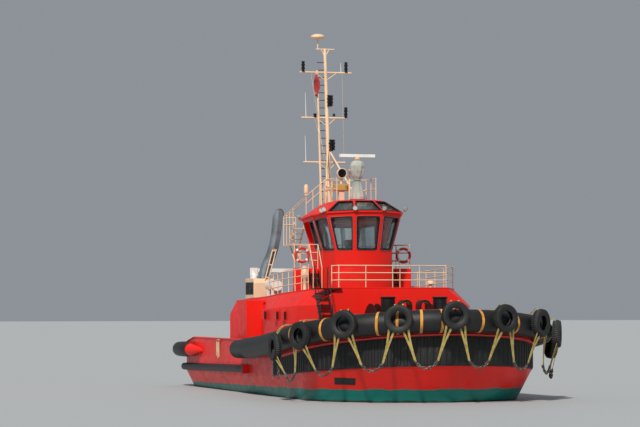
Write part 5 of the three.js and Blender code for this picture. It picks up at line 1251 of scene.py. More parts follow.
# %% Wheelhouse walls, doors and glass
for node, bevel in (("base", 0.02), ("front", 0.012), ("aft", 0.012), ("roof", 0.015)):
    eased("wheelhouse_" + node, "red_paint", bevel=bevel)
for side_name in ("starboard", "port"):
    eased("door_frame_" + side_name, "red_paint", bevel=0.008)
    eased("wheelhouse_door_" + side_name, "red_paint", "door_" + side_name, bevel=0.006)
for band in ("front", "aft", "roof"):
    eased("glass_" + band, "window_glass", bevel=0.0)
eased("helm_console", "console_plastic", bevel=0.02)

# %% [markdown]
# Above the front walls the roof's slope has three more windows, so that the crew can look up at
# a ship's side. Their openings follow from the eaves' plan moved inwards by a share of the
# slope's width, and from the height at that share, less the roof's fall towards the stern.

# %% Roof windows
FASCIA, RIM_Z, RIM_INSET, EAVES_OUT, ROOF_POST = 0.06, 8.55, 0.83, 0.06, 0.06
ROOF_SHARES = (0.04, 0.88)  # where the openings start and end on the slope


def roof_quad(i):
    """The opening in the roof's slope above wall i, narrowed by its posts."""
    rows = []
    for share in ROOF_SHARES:
        plan = inset(eaves_plan, np.full(10, RIM_INSET * share - EAVES_OUT))
        a, b = plan[i], plan[(i + 1) % 10]
        step = unit(b - a) * ROOF_POST
        z = EAVES + FASCIA + share * (RIM_Z - EAVES - FASCIA)
        rows.append([np.array([*p, z - fall_at(p[0])]) for p in (a + step, b - step)])
    return np.array([*rows[0], *rows[1][::-1]])


frames("roof_gaskets", [roof_quad(i) for i in (9, 0, 8)], "gasket", 0.02, 0.03, 0.05, 0.014, -0.06)

# %% [markdown]
# A landing runs round each side of the wheelhouse, with a rail. To starboard, steps climb from it
# to a raised platform and on to the roof, with a sloping handrail. These are bars and plates
# between named corners, so that they follow when a corner is moved.

# %% Landing and roof rails
STAIR_EDGE = 2.03  # the upper stairs come up inboard of this
LANDING = [(0.29, -STAIR_EDGE, FLOOR), (0.29, -2.67, FLOOR), (-2.44, -1.89, FLOOR)]
PERCH_LOW, PERCH_HIGH = np.array([-3.4, -2.13, 6.6]), np.array([-2.4, -1.56, 7.87])
PERCH_HEAD = np.array([-1.25, -1.69, 8.75])
STEP_LONG, STEP_RUN, STEP_THICK = 0.23, 0.22, 0.03


def perch_shapes():
    """The raised platform behind the landing: bars between pairs of points, and flat plates."""
    (x0, y0, floor), (x1, y1, top) = PERCH_LOW, PERCH_HIGH
    foot, middle, eaves = np.array([x0, y0, top]), (floor + top) / 2 + 0.27, EAVES - fall_at(x1 + 0.5)
    low_bar = np.array([0, 0, 0.11])
    stanchion = np.array([*PERCH_HEAD[:2], EAVES - fall_at(PERCH_HEAD[0]) + 0.1])
    along = foot + np.array([0, 0.13, 0.27, 0.42])[:, None] * (PERCH_HEAD - foot)
    ends = [(foot, PERCH_HEAD), (foot - low_bar, PERCH_HEAD - low_bar), (stanchion, PERCH_HEAD)]
    ends += [((x, y, floor - 0.03), (x, y, z)) for x, y, z in along]
    ends += [((x0, y1, floor - 0.03), (x0, y1, top)), ((x0, y0, top - 0.02), (x0, y1, top - 0.02))]
    ends += [((x0, y0, middle), (x0, y1, middle)), ((x0, y0, middle), (x1, y0 + 0.19, middle))]
    landing_x, landing_y, _ = LANDING[-1]
    legs = []
    for y in (landing_y, y1 - 0.06):
        legs.append(((landing_x, y, FLOOR - 0.04), (landing_x, y, floor - 0.01)))
        legs.append(((landing_x, y, floor - 0.7), (x0 + 0.2, y, floor - 0.02)))
    plates = [((x0, y0, floor - 0.04), (x1, y1, floor))]
    for i in (1, 2, 3):
        x, z = x1 - 0.42 + i * STEP_RUN, floor + (eaves - floor) * i / 4
        plates.append(((x, y0 + 0.06, z - STEP_THICK), (x + STEP_LONG, y1, z)))
    outline = [(x1 - 0.42, floor - 0.03), (x1 - 0.25, floor - 0.03)]
    outline += [(x1 + 0.56, eaves - 0.06), (x1 + 0.47, eaves + 0.04)]
    sides = []
    for y in (y0 + 0.06, y1 - 0.03):
        sides.append(surface([[[x, y + e, z] for x, z in outline] for e in (0, 0.03)]))
    return joined([bars(ends, RAIL_R), bars(legs, 0.032, 10), boxes(plates), *sides])


landing_line = LANDING + [(x, -y, z) for x, y, z in LANDING[::-1]]
landing_shapes = [railing(landing_line, 1.05, 3, 1.4, 0.02), perch_shapes()]
piece("landing_rail_bars", joined(landing_shapes), "cream", replaces="landing_rail", smooth=50)
roof_half = [(0.9, 0.9, RIM_Z), (-0.7, 0.95, RIM_Z), (-1.15, 0.5, RIM_Z)]
roof_line = [(x, -y, z) for x, y, z in roof_half] + roof_half[::-1]
roof_rail = railing(roof_line, 0.92, 2, 0.8, 0.02, fall_at)
piece("roof_rail_bars", roof_rail, "cream", replaces="roof_rail", smooth=50)

# %% [markdown]
# Stairs, the funnel casings, the crane and the winch have plain shapes, and welded copies of
# their solids do well. The mast and the exhaust pipes are round, so they are made again with
# more sides from the same places.

# %% Stairs and deck gear
for node, finish, body, bevel in (
    ("stair_lower", "black", "boat", 0.004),
    ("stair_upper_starboard", "black", "boat", 0.004),
    ("stair_upper_port", "black", "boat", 0.004),
    ("radar_scanner", "white", "scanner", 0.03),
    ("funnel_casing_port", "cream", "boat", 0.03),
    ("funnel_casing_starboard", "cream", "boat", 0.03),
    ("crane_pedestal", "white", "boat", 0.01),
    ("crane_head", "white", "crane_head", 0.008),
    ("crane_arm", "white", "crane_arm", 0.01),
    ("winch_frame", "black", "boat", 0.012),
    ("winch_drum", "black", "winch_drum", 0.01),
    ("towing_bitts", "black", "boat", 0.02),
    ("stern_bitts", "black", "boat", 0.015),
):
    eased(node, finish, body, bevel=bevel)

# %% [markdown]
# The mast is a tapered tube that leans aft, with a ladder beside it, bars across it and stays to
# the roof. A round dish stands at its head. Every part is placed by its height, through the
# mast's own slope, so that all of them follow when the lean is changed.

# %% Mast
MAST_FOOT_X, MAST_FOOT_Z, MAST_TOP, MAST_RAKE, LADDER_Y = -2.75, 4.2, 15.65, 0.112, -0.4
AERIAL_Y, AERIAL_Z, STAY_FOOT_X, STAY_FOOT_Y = -0.34, 16.08, -1.01, 0.855
CROSS_BARS = [  # height, ends to port, radius
    (15.62, -0.42, 0.45, 0.03), (14.54, -1.23, 1.23, 0.04),
    (12.44, -1.22, 0.92, 0.04), (10.39, -1.2, 0.8, 0.04),
]
DISH = [
    (0, 0), (0.2, 0.008), (0.29, 0.035), (0.328, 0.085),
    (0.325, 0.125), (0.29, 0.175), (0.16, 0.228), (0, 0.24),
]


def mast_at(z):
    return MAST_FOOT_X - (np.asarray(z, float) - MAST_FOOT_Z) * MAST_RAKE


def mast_line(z, y):
    z = np.asarray(z, float)
    return np.stack([mast_at(z), np.broadcast_to(y, z.shape), z], axis=-1)


post_z = np.linspace(4.0, MAST_TOP, 24)
mast_parts = [
    tube(mast_line(post_z, 0), np.interp(post_z, [4.0, MAST_TOP], [0.13, 0.07]), 20),
    tube(mast_line(post_z[post_z < 15], LADDER_Y), 0.05, 14),
]
for z, start, end, radius in CROSS_BARS:
    mast_parts.append(tube([mast_line(z, y) for y in np.linspace(start, end, 7)], radius, 12))
    braces = [(mast_line(z - 0.38, 0), mast_line(z, y * 0.45)) for y in (start, end)]
    mast_parts.append(bars(braces, 0.022, 8))
stay_foot_z = RIM_Z - fall_at(STAY_FOOT_X) - 0.02
for hand in (-1, 1):
    stay = (STAY_FOOT_X, hand * STAY_FOOT_Y, stay_foot_z), mast_line(11.0, hand * 0.02)
    mast_parts.append(bars([stay], 0.042, 12))
mast_parts.append(boxes([((-3.908, -0.485, 14.44), (-3.768, -0.435, 14.54))]))
dish_x = float(mast_at(MAST_TOP))
dish_stem = (dish_x, AERIAL_Y, MAST_TOP - 0.06), (dish_x, AERIAL_Y, AERIAL_Z + 0.03)
mast_parts += [bars([dish_stem], 0.03, 12), turned(DISH, 40, at=(dish_x, AERIAL_Y, AERIAL_Z))]
piece("mast_spars", joined(mast_parts), "cream", replaces="mast", smooth=45)
rung_z = np.arange(5.2, 15.0, 0.35)
rungs = np.stack([mast_line(rung_z, 0), mast_line(rung_z, LADDER_Y)], axis=1)
piece("ladder_rungs", bars(rungs, 0.016, 8), "black", smooth=50)

# %% [markdown]
# An exhaust pipe bends inwards above its casing and is cut at a slant, so that rain runs off. It
# is a round tube along a smooth path, out along the wall and back along the bore. Every point
# above a sloping plane is brought down to that plane, which makes the slanted mouth.

# %% Exhaust pipes
PIPE_R, PIPE_WALL, CASING_TOP, PIPE_STEPS, BORE_STEPS = 0.24, 0.02, 5.1, 60, 24
CUT_X, CUT_Z, CUT_SLOPE = -5.77, 8.32, math.tan(math.radians(50))
PIPE_PATH = [
    (-6.4, 2.28, CASING_TOP), (-6.4, 2.2, 5.5), (-6.26, 1.9, 6.3), (-6.18, 1.77, 6.9), (-6.0, 1.65, 8.45),
]


def exhaust_shape(hand):
    """A round pipe along a smooth path, cut at a slant: each point is kept under a sloping plane."""
    path = eased_path(PIPE_PATH, PIPE_STEPS)
    side, up = ring_frame(np.gradient(path, axis=0))
    welds = 1 + 0.012 * (np.arange(PIPE_STEPS) % 13 == 0)
    outer = rings(path, side, up, PIPE_R * welds, 32)
    bore = rings(path, side, up, np.full(PIPE_STEPS, PIPE_R - PIPE_WALL), 32)[::-1][:BORE_STEPS]
    grid = np.concatenate([outer, bore])
    grid[..., 2] = np.minimum(grid[..., 2], CUT_Z + (grid[..., 0] - CUT_X) * CUT_SLOPE)
    points, faces = surface(grid)
    return points * [1, hand, 1], faces


for side_name, hand in (("port", 1), ("starboard", -1)):
    shape = exhaust_shape(hand)
    piece("exhaust_pipe_" + side_name, shape, "pipe_steel", replaces="exhaust_" + side_name, smooth=40)

# %% [markdown]
# The life raft lies in a cradle behind the wheelhouse, and the radar stands on a short mast of
# its own on the roof. Both have plain shapes in the solids, so they are welded copies too.

# %% Life raft and radar mast
eased("life_raft", "white", bevel=0.02)
eased("radar_mast", "cream", bevel=0.01)

# %% [markdown]
# Two thrusters hang under the stern. Each turns its whole leg to steer, and its propeller works
# in a ring called a nozzle. Under water everything wears the same dull green.

# %% Thrusters and propellers
for side_name in ("port", "starboard"):
    eased("thruster_" + side_name, "bottom", "thruster_" + side_name, bevel=0.01, smooth=40)
    eased("propeller_" + side_name, "bronze", "propeller_" + side_name, bevel=0.006, smooth=40)

# %% [markdown]
# The mast carries black signal lanterns in stacks, at the ends of its bars and on brackets at
# the post. A lantern is a turned shape: a base, a narrower lens and a cap, once for each light.
# Whip aerials are thin upright rods, and thin taut lines run from a bar down to the roof.

# %% Lanterns, whips and lines
TIER = 0.16
LANTERN_STEPS = [(1, 0), (1, 0.035), (0.76, 0.045), (0.76, 0.11), (1, 0.12), (1, 0.15)]


def lantern(x, y, z, tiers, radius=0.085):
    """A stack of round lights; the profile steps in at each lens and out at each cap."""
    steps = [(radius * share, k * TIER + up) for k in range(tiers) for share, up in LANTERN_STEPS]
    cap = [(radius * 0.6, tiers * TIER), (0, tiers * TIER + 0.01)]
    return turned([(0, 0), *steps, *cap], 20, at=(x, y, z))


lantern_places = [  # height, distance to port, ahead of the mast's line, lights
    (14.56, -1.07, 0.0, 3), (14.56, 0.98, 0.0, 3),
    (13.0, 0.05, 0.2, 3), (13.0, 0.2, 0.08, 3), (10.95, 0.07, 0.2, 3), (10.95, 0.23, 0.08, 3),
    (12.46, 0.9, 0.0, 3), (12.47, -0.57, 0.0, 1),
]
lanterns = [lantern(float(mast_at(z)) + ahead, y, z, tiers) for z, y, ahead, tiers in lantern_places]
shelves = []
for ahead, y in ((0.2, 0.05), (0.08, 0.22)):
    shelves += [((mast_at(z), 0, z), (mast_at(z) + ahead, y, z)) for z in (12.98, 13.3, 10.93, 11.25)]
CAMERA = [(0, -0.05), (0.06, -0.04), (0.06, 0.05), (0.03, 0.09), (0, 0.09)]
mast_camera = turned(CAMERA, 20, at=(-3.67, 0.33, 12.56))
piece("mast_lanterns", joined([*lanterns, bars(shelves, 0.02, 8), mast_camera]), "black", smooth=40)

whip_shapes = []
for y, low, high in ((-1.0, 12.45, 13.6), (-1.07, 10.4, 11.6), (0.74, 14.54, 15.0)):
    whip_shapes.append(tube(mast_line(np.linspace(low, high, 6), y), np.linspace(0.018, 0.008, 6), 8))
piece("whip_aerials", joined(whip_shapes), "white", smooth=50)

lines = [
    ((-3.9, -0.7, 14.52), (-1.1, -0.75, 9.46)),
    ((-3.9, 0.79, 14.52), (-3.5, 0.76, 10.42)),
    ((-3.67, -0.6, 12.44), (-1.15, -0.52, 9.46)),
]
piece("signal_lines", bars(lines, 0.006, 6), "rope_fibre", smooth=50)

# %% [markdown]
# A flag that hangs in still air gathers into pleats under the block that holds it. Its rows
# run down the flag and its columns across: the columns swing from side to side in pleats,
# whose reach is small at the top, greatest a third of the way down, and small at the tied foot.

# %% Flag
FLAG_TOP, FLAG_FOOT, FLAG_Y, PLEATS, FLAG_AHEAD = 14.43, 13.44, -0.5, 5, 0.11
TIE_SHARE, TIE_R = 0.88, 0.045
REACH_V = [0, 0.12, 0.35, 0.7, 0.84, 0.9, 1.0]
REACH = [0.03, 0.09, 0.165, 0.15, 0.06, 0.045, 0.08]
flag_v, flag_u = np.meshgrid(np.linspace(0, 1, 40), np.linspace(0, 1, 61), indexing="ij")
flag_z = FLAG_TOP + (FLAG_FOOT - FLAG_TOP) * flag_v
flag_reach = np.interp(flag_v, REACH_V, REACH)
pleat = np.sin(np.pi * PLEATS * flag_u + 0.5 * np.sin(3 * flag_v)) * (0.8 + 0.2 * np.cos(7 * flag_u))
flag_y = FLAG_Y + flag_reach * pleat + 0.02 * np.sin(4 * flag_v)
flag_wave = (flag_u - 0.5) * 0.5 * flag_reach + 0.012 * np.cos(5 * flag_v + 9 * flag_u)
flag_x = mast_at(flag_z) + FLAG_AHEAD + flag_wave
flag_grid = np.stack([flag_x, flag_y, flag_z + 0.05 * (flag_u - 0.5) * flag_v], axis=-1)
flag_shape = surface(flag_grid, loop_columns=False, caps=False)
flag_piece = piece(
    "flag_sheet", flag_shape, "red_flag", replaces="flag", smooth=60, solidify=0.003, outward=False,
)
tie_z = FLAG_TOP + (FLAG_FOOT - FLAG_TOP) * TIE_SHARE
tie_middle = float(mast_at(tie_z)) + FLAG_AHEAD, FLAG_Y, tie_z
flag_tie = tube(circle(tie_middle, (TIE_R, 0, 0), (0, TIE_R, 0), around(16)), 0.012, 8, loop=True)
tie_piece = piece("flag_tie", flag_tie, "rope_fibre", smooth=50)


def area_of(grid):
    """The area of a grid's faces, from the crossed diagonals of each."""
    one, two = grid[1:, 1:] - grid[:-1, :-1], grid[1:, :-1] - grid[:-1, 1:]
    return float(np.linalg.norm(np.cross(one, two), axis=-1).sum() / 2)


print("flag cloth", round(area_of(flag_grid), 3), "square metres")

# %% [markdown]
# The radar's motor is kept dry by a canvas cover, tied in at its waist, so that it swells above
# the tie and flares below it to a dark hem. The radius depends on the height, through the
# outline, and on the angle, through waves that grow where the cloth is gathered.

# %% Radar cover
COVER_X, COVER_LOW, COVER_HIGH, COVER_WAIST = 1.0, 8.5, 10.262, 9.36
OUTLINE_Z = [8.5, 8.66, 8.9, 9.15, 9.3, 9.36, 9.43, 9.55, 9.8, 10.02, 10.15, 10.22, 10.262]
OUTLINE_R = [0.315, 0.315, 0.265, 0.205, 0.165, 0.155, 0.17, 0.235, 0.305, 0.315, 0.27, 0.19, 0.11]
GATHER_Z, GATHER = [8.5, 8.9, 9.3, 9.4, 9.7, 10.0, 10.26], [0.12, 0.1, 0.07, 0.07, 0.08, 0.05, 0.03]
cover_z = np.concatenate([np.linspace(COVER_LOW, 10.1, 58), np.linspace(10.12, COVER_HIGH, 12)])
cover_turn, rows_z = around(96), cover_z[:, None]
gather = np.interp(rows_z, GATHER_Z, GATHER)
fold = 0.55 * np.sin(8 * cover_turn + 1.6 * np.sin(2.3 * rows_z))
fold = fold + 0.45 * np.sin(5 * cover_turn - 3.0 * rows_z)
crease = 0.03 * np.sin(11 * rows_z + 3 * np.sin(2 * cover_turn)) * (rows_z > COVER_WAIST)
cover_radius = np.minimum(np.interp(rows_z, OUTLINE_Z, OUTLINE_R) * (1 + gather * fold + crease), 0.365)


def round_cover(radius, z):
    """Points round the cover's axis, from a radius for each angle and a height."""
    across, up = radius * np.sin(cover_turn), np.broadcast_to(z, radius.shape)
    return np.stack([COVER_X + radius * np.cos(cover_turn), across, up], axis=-1)


def cover_ring(z, wire, grow, finish, name):
    """A cord round the cover, which follows its folds at that height."""
    radius = np.array([np.interp(z, cover_z, column) for column in cover_radius.T]) + grow
    return piece(name, tube(round_cover(radius, z), wire, 8, loop=True), finish, smooth=50)


cover_grid = round_cover(cover_radius, rows_z)
cover_piece = piece(
    "cover_sheet", surface(cover_grid, caps=False), "grey_canvas",
    replaces="radar_cover", smooth=60, solidify=0.004,
)
closed_cover = np.concatenate([cover_grid, cover_grid[:, :1]], axis=1)
print("cover cloth", round(area_of(closed_cover), 3), "square metres")
waist_tie = cover_ring(COVER_WAIST, 0.014, 0.008, "green_tie", "cover_waist_tie")
cover_hem = cover_ring(COVER_LOW + 0.03, 0.016, 0.004, "cover_hem", "cover_hem")

# %% [markdown]
# On the roof stand the lamps and the gear for seeing: a searchlight, which is a drum with a
# dark glass at its front, floodlights on the eaves, and a horn at the head of the sloping rail.
# A small floodlight is a shallow turned cup with a glass in it, tipped down on a short bracket.

# %% Searchlight
LIGHT_AT = np.array([-0.5, -0.28, 9.75])
DRUM = [
    (0, -0.17), (0.1, -0.165), (0.19, -0.12), (0.222, -0.02),
    (0.225, 0.165), (0.2, 0.17), (0.195, 0.12), (0, 0.12),
]
LENS = [(0, 0.13), (0.13, 0.128), (0.193, 0.122), (0.193, 0.118), (0, 0.118)]
neck = turned([(0, -0.33), (0.07, -0.33), (0.07, -0.2), (0, -0.2)], 16, at=LIGHT_AT)
drum = joined([turned(DRUM, 40, "x", LIGHT_AT), neck])
piece("searchlight_drum", drum, "cream", "searchlight_head", "searchlight", smooth=40)
piece("searchlight_lens", turned(LENS, 40, "x", LIGHT_AT), "dark_glass", "searchlight_head", smooth=40)
light_head = [((-0.7, -0.61, 8.98), (-0.3, 0.05, 9.27))]
light_stem = [((-0.62, -0.4, RIM_Z - fall_at(-0.5)), (-0.38, -0.16, 8.98))]
piece("light_head", boxes(light_head), "ochre", replaces="searchlight_stand", bevel=0.03)
light_spindle = turned([(0, 9.25), (0.05, 9.25), (0.05, 9.44), (0, 9.44)], 16, at=(*LIGHT_AT[:2], 0))
piece("light_stem", joined([boxes(light_stem), light_spindle]), "cream", bevel=0.01)

# %% [markdown]
# Floodlights under the eaves are one cup and one glass, copied to seven places. A horn stands at
# the head of the sloping rail, and round bars link that rail to the one on the roof.

# %% Floodlights and horn
FLOODLIGHT = [(0, -0.09), (0.05, -0.085), (0.1, -0.02), (0.115, 0.03), (0.1, 0.035), (0.095, 0.02), (0, 0.02)]
FLOOD_GLASS = [(0, 0.03), (0.06, 0.029), (0.097, 0.026), (0, 0.022)]
flood_places = [  # place, heading in degrees
    ((2.86, -0.66, 8.1), -20), ((2.86, 0.66, 8.1), 15), ((2.15, 1.86, 8.08), 40), ((2.15, -1.86, 8.06), -40),
    ((1.88, -1.9, 8.02), -50), ((-0.98, -2.12, 7.8), -100), ((-0.98, 2.12, 7.8), 100),
]


def facing(at, heading, tip=25):
    """A matrix that turns the x axis to a heading and tips it down."""
    turn = Matrix.Rotation(math.radians(heading), 4, "Z") @ Matrix.Rotation(math.radians(tip), 4, "Y")
    return Matrix.Translation(at) @ turn


flood_moves = [facing(*lamp) for lamp in flood_places]
piece("floodlight_cups", copies(turned(FLOODLIGHT, 24, "x"), flood_moves), "grey_green", smooth=40)
piece("floodlight_lenses", copies(turned(FLOOD_GLASS, 24, "x"), flood_moves), "white", smooth=40)
flood_brackets = []
for lamp_at, heading in flood_places:
    ahead = 0.1 * np.array([math.cos(math.radians(heading)), math.sin(math.radians(heading)), 1])
    flood_brackets.append((lamp_at - ahead, np.array(lamp_at) - [0.02, 0, 0.06]))
piece("floodlight_brackets", bars(flood_brackets, 0.02, 8), "red_paint", smooth=50)

HORN = [(0, 0), (0.07, 0), (0.07, 0.1), (0.1, 0.12), (0.1, 0.42), (0.06, 0.5), (0, 0.5)]
post_foot = RIM_Z - fall_at(0.2) - 0.01
roof_post = [(0, post_foot), (0.045, post_foot), (0.045, 9.86), (0.03, 9.9), (0, 9.9)]
horn = [turned(HORN, 20, at=PERCH_HEAD + [0, 0, 0.02]), turned(roof_post, 16, at=(0.25, -0.12, 0))]
piece("roof_horn", joined(horn), "cream", smooth=40)

LINK_END, LINK_TURN, LINK_POST = np.array([-1.15, -0.5, 9.47]), np.array([-0.7, -0.95, 9.47]), (-1.6, -0.75)
link_ends = []
for lift in (0.0, -0.34):
    near, far, end = (np.array(p) + [0, 0, lift] for p in (PERCH_HEAD, LINK_TURN, LINK_END))
    link_ends += [(near, far), (far, end)]
for share in (0.35, 0.7):
    top = PERCH_HEAD + (LINK_TURN - PERCH_HEAD) * share
    link_ends.append(((top[0], top[1], 8.15), top))
link_ends.append(((*LINK_POST, 8.16), (*LINK_POST, 9.5)))
link_ends += [((*LINK_POST, 9.5), LINK_END), ((*LINK_POST, 9.1), (-1.15, -0.5, 9.1))]
piece("roof_link_rails", bars(link_ends, RAIL_R, 8), "cream", smooth=50)

# %% [markdown]
# Behind the wheelhouse are the funnel casings with their louvres, and a pair of bars braces
# each exhaust pipe. A louvre is a row of thin slats between two sides.

# %% Aft works
BRACE_HALF, SLAT_OUT, FRAME_OUT, CASING_HALF = 0.085, 0.025, 0.012, 2.88
RAFT_Y, RAFT_RISE, RAFT_BAND_R = -2.3, 0.52, 0.256
VENT = [
    (0, 4.4), (0.1, 4.4), (0.1, 4.5), (0.085, 4.52), (0.085, 5.0), (0.15, 5.08), (0.17, 5.16), (0.17, 5.38),
    (0.12, 5.46), (0.12, 5.6), (0, 5.62),
]
CAP_VENT = [(0, 4.3), (0.07, 4.3), (0.07, 4.62), (0.16, 4.62), (0.16, 4.7), (0.1, 4.78), (0, 4.8)]
brace, slats, slat_frames = [], [], []
for hand in (1, -1):
    low, high = np.array([-5.88, hand * 2.26, 5.0]), np.array([-5.96, hand * 1.86, 6.45])
    half = np.array([0, BRACE_HALF, 0])
    brace += [(low - half, high - half), (low + half, high + half)]
    middles = [low + (high - low) * share for share in (0.1, 0.5, 0.95)]
    brace += [(middle - half, middle + half) for middle in middles]
    brace.append((high, (-6.15, hand * 1.86, 6.45)))
    inner, outer = sorted((hand * CASING_HALF, hand * (CASING_HALF + SLAT_OUT)))
    slats += [((-7.25, inner, z), (-6.0, outer, z + 0.022)) for z in np.arange(4.42, 4.86, 0.055)]
    inner, outer = sorted((hand * CASING_HALF, hand * (CASING_HALF + FRAME_OUT)))
    slat_frames.append(((-7.3, inner, 4.36), (-5.95, outer, 4.92)))
piece("exhaust_braces", bars(brace, 0.028, 8), "cream", smooth=50)
piece("casing_louvres", joined([boxes(slats), boxes(slat_frames)]), "black")

raft_bands = []
for x in (-4.85, -4.5, -4.15):
    middle = x, RAFT_Y, float(house_top_at(-4.5)) + RAFT_RISE
    band = circle(middle, (0, RAFT_BAND_R, 0), (0, 0, RAFT_BAND_R), around(32))
    raft_bands.append(tube(band, 0.014, 8, loop=True))
piece("raft_bands", joined(raft_bands), "grey_canvas", smooth=50)
vents = [turned(VENT, 24, at=(0.55, -2.27, 0))]
for x, y in ((-3.9, 1.6), (-3.4, -1.2), (-7.9, 0.6), (3.4, 2.6)):
    vents.append(turned(CAP_VENT, 24, at=(x, y, float(house_top_at(x)) - 4.36)))
piece("deck_vents", joined(vents), "cream", smooth=40)

# %% [markdown]
# Handrails follow the stairs as round bars from head to foot. A lifebuoy is a ring of round
# section with four bands, which are short arcs of a slightly thicker tube on the same circle.

# %% Handrails and lifebuoys
STAIR_TOP, STAIR_FOOT, HAND_RISE = np.array([6.3, 4.6]), np.array([8.0, 1.25]), 0.9
BUOY_R = 0.3
stair_rails, dark_rails = [], []
for hand in (1, -1):
    inner = hand * 1.6
    for y in (inner, hand * 2.0):
        knee = (0.95, y, 5.52)
        stair_rails += [((0.33, y, 6.55), knee), (knee, (0.95, y, float(house_top_at(0.95))))]
    stair_rails += [((0.29, inner, z), (0.29, hand * 2.03, z)) for z in (5.85, 6.2, 6.55)]
    stair_rails.append(((0.29, inner, FLOOR), (0.29, inner, 6.57)))
for y in (-2.93, -3.47):
    (top_x, top_z), (foot_x, foot_z) = STAIR_TOP, STAIR_FOOT
    dark_rails.append(((top_x, y, top_z + HAND_RISE), (foot_x - 0.15, y, foot_z + HAND_RISE)))
    dark_rails.append(((top_x, y, top_z), (top_x, y, 5.5)))
    for share in (0.45, 0.92):
        x, z = STAIR_TOP + (STAIR_FOOT - STAIR_TOP) * share
        dark_rails.append(((x, y, z), (x - 0.07, y, z + HAND_RISE)))
piece("stair_handrails", bars(stair_rails, RAIL_R, 8), "cream", smooth=50)
piece("lower_handrails", bars(dark_rails, 0.018, 8), "black", smooth=50)

upright_circle = (0, 0, 0), (0, BUOY_R, 0), (0, 0, BUOY_R)
buoy_ring = tube(circle(*upright_circle, around(48)), 0.06, 16, loop=True)
quarters = np.arange(4) * np.pi / 2 + np.pi / 4
band_arcs = [circle(*upright_circle, q + np.linspace(-0.14, 0.14, 6)) for q in quarters]
buoy_bands = joined([tube(arc, 0.064, 16) for arc in band_arcs])
buoy_moves = [facing((0.38, y, 6.08), 0, 0) for y in (-2.35, 2.35)]
piece("lifebuoy_rings", copies(buoy_ring, buoy_moves), "orange_plastic", smooth=50)
piece("lifebuoy_bands", copies(buoy_bands, buoy_moves), "white", smooth=50)

# %% [markdown]
# The towing gear sits on the fore deck. Rope fills the winch drum in a flat winding, and the
# bitts have wide caps, so that a line cannot jump off them.

# %% Deck gear
WINCH_X, WINCH_Z, WINCH_CORE, WINCH_INNER, ROPE_TURNS, HAWSER_R = 7.6, 3.0, 0.56, 1.12, 34, 0.034
BITT_CAP = [(0, 4.16), (0.29, 4.16), (0.325, 4.175), (0.33, 4.21), (0.3, 4.24), (0, 4.245)]
wind = np.linspace(0, 1, ROPE_TURNS * 24)
reach = WINCH_CORE + 0.04
winding = circle((WINCH_X, 0, WINCH_Z), (reach, 0, 0), (0, 0, reach), wind * ROPE_TURNS * 2 * np.pi)
winding[:, 1] = (2 * wind - 1) * WINCH_INNER
piece("winch_rope", tube(winding, HAWSER_R, 8), "rope_fibre", "winch_drum", smooth=50)
bitt_caps = [turned(BITT_CAP, 36, at=(8.95, y, 0)) for y in (-1.13, 1.13)]
piece("bitt_caps", joined(bitt_caps), "black", smooth=40)

# %% [markdown]
# The helm chair is a guess at what stands behind the windows: two crowned cushions on a post. A
# cushion is a box with soft corners, from powers of the sine and cosine, whose top swells
# towards its middle. The back is the same form set upright.

# %% Helm chair
CHAIR_POST = [(0, 0), (0.26, 0), (0.26, 0.03), (0.06, 0.06), (0.06, 0.49), (0, 0.49)]


def soft(value, power):
    """A power that keeps the sign of its value."""
    return np.sign(value) * np.abs(value) ** power


def cushion(middle, size, crown=0.22):
    """A crowned closed form: a superellipsoid whose sides are pulled in between its corners."""
    lat, lon = np.linspace(-np.pi / 2, np.pi / 2, 20)[:, None], around(40)
    side = 1 - 0.04 * np.cos(2 * lon) ** 2
    x, y = (soft(np.cos(lat), 0.35) * soft(part, 0.35) * side for part in (np.cos(lon), np.sin(lon)))
    z = soft(np.sin(lat), 0.5) * (1 - crown * (x**2 + y**2) / 2)
    return surface(np.array(middle) + np.stack([x, y, z], axis=-1) * np.array(size) / 2)


seat = piece("chair_seat", cushion((0.13, 0, FLOOR + 0.55), (0.52, 0.52, 0.14)), "seat_leather", smooth=60)
points, faces = cushion((0, 0, 0), (0.74, 0.5, 0.12))
upright = points[:, ::-1] + [-0.12, 0, FLOOR + 0.93]
back = piece("chair_back", (upright, faces), "seat_leather", smooth=60)
piece("chair_post", turned(CHAIR_POST, 24, at=(0.15, 0, FLOOR)), "black", replaces="helm_chair", smooth=40)

# %% [markdown]
# Along the foot of the deckhouse are vent hoods: small boxes that stand proud of the wall, each
# with a thin black plate on its fore face, which is painted shade for the dark opening under the
# hood. They are the same three places on both sides.

# %% House side
hoods, shade_slots = [], []
for hand in (1, -1):
    inner, outer = sorted((hand * 3.89, hand * 4.04))
    for x in (-0.15, 1.85, 3.1):
        hoods.append(((x, inner, 3.22), (x + 0.3, outer, 3.68)))
        shade_slots.append(((x + 0.3, inner + 0.02, 3.26), (x + 0.306, outer - 0.02, 3.6)))
piece("house_vent_hoods", boxes(hoods), "red_paint", bevel=0.012)
# the thin black plates are painted shade for the openings under the hoods, not a part of their own
piece("house_vent_painted_shade", boxes(shade_slots), "gasket")

# %% [markdown]
# A short chain hangs at the after end of the black panel, and old rope is lashed along the edge
# of the fender's shelf. The rope is a thin tube along the shelf's edge, with slow waves sideways
# and up and down, as rope never lies straight.

# %% Hull fittings
panel_end = float(bow_line[0][0])
tail_z = np.linspace(float(top_at(panel_end)) - 1.12, float(knuckle_at(panel_end)) - 0.1, 9)
tail_path = np.stack([np.full(9, panel_end - 0.07), np.full(9, -HALF_BEAM - 0.06), tail_z], axis=1)
piece("panel_end_chain", chain(tail_path, 0.13), "bright_steel", smooth=50)
fringe_at, fringe_along = resampled(bow_line, 0.3)
fringe_out = SHELF_OUT + 0.012 + 0.012 * np.sin(fringe_along * 9)
fringe_flat = fringe_at + normals_of(fringe_at) * fringe_out[:, None]
fringe_z = top_at(fringe_at[:, 0]) - SHELF_DROP + 0.012 + 0.01 * np.sin(fringe_along * 13)
piece("shelf_rope", tube(np.column_stack([fringe_flat, fringe_z]), 0.022, 8), "faded_rope", smooth=50)

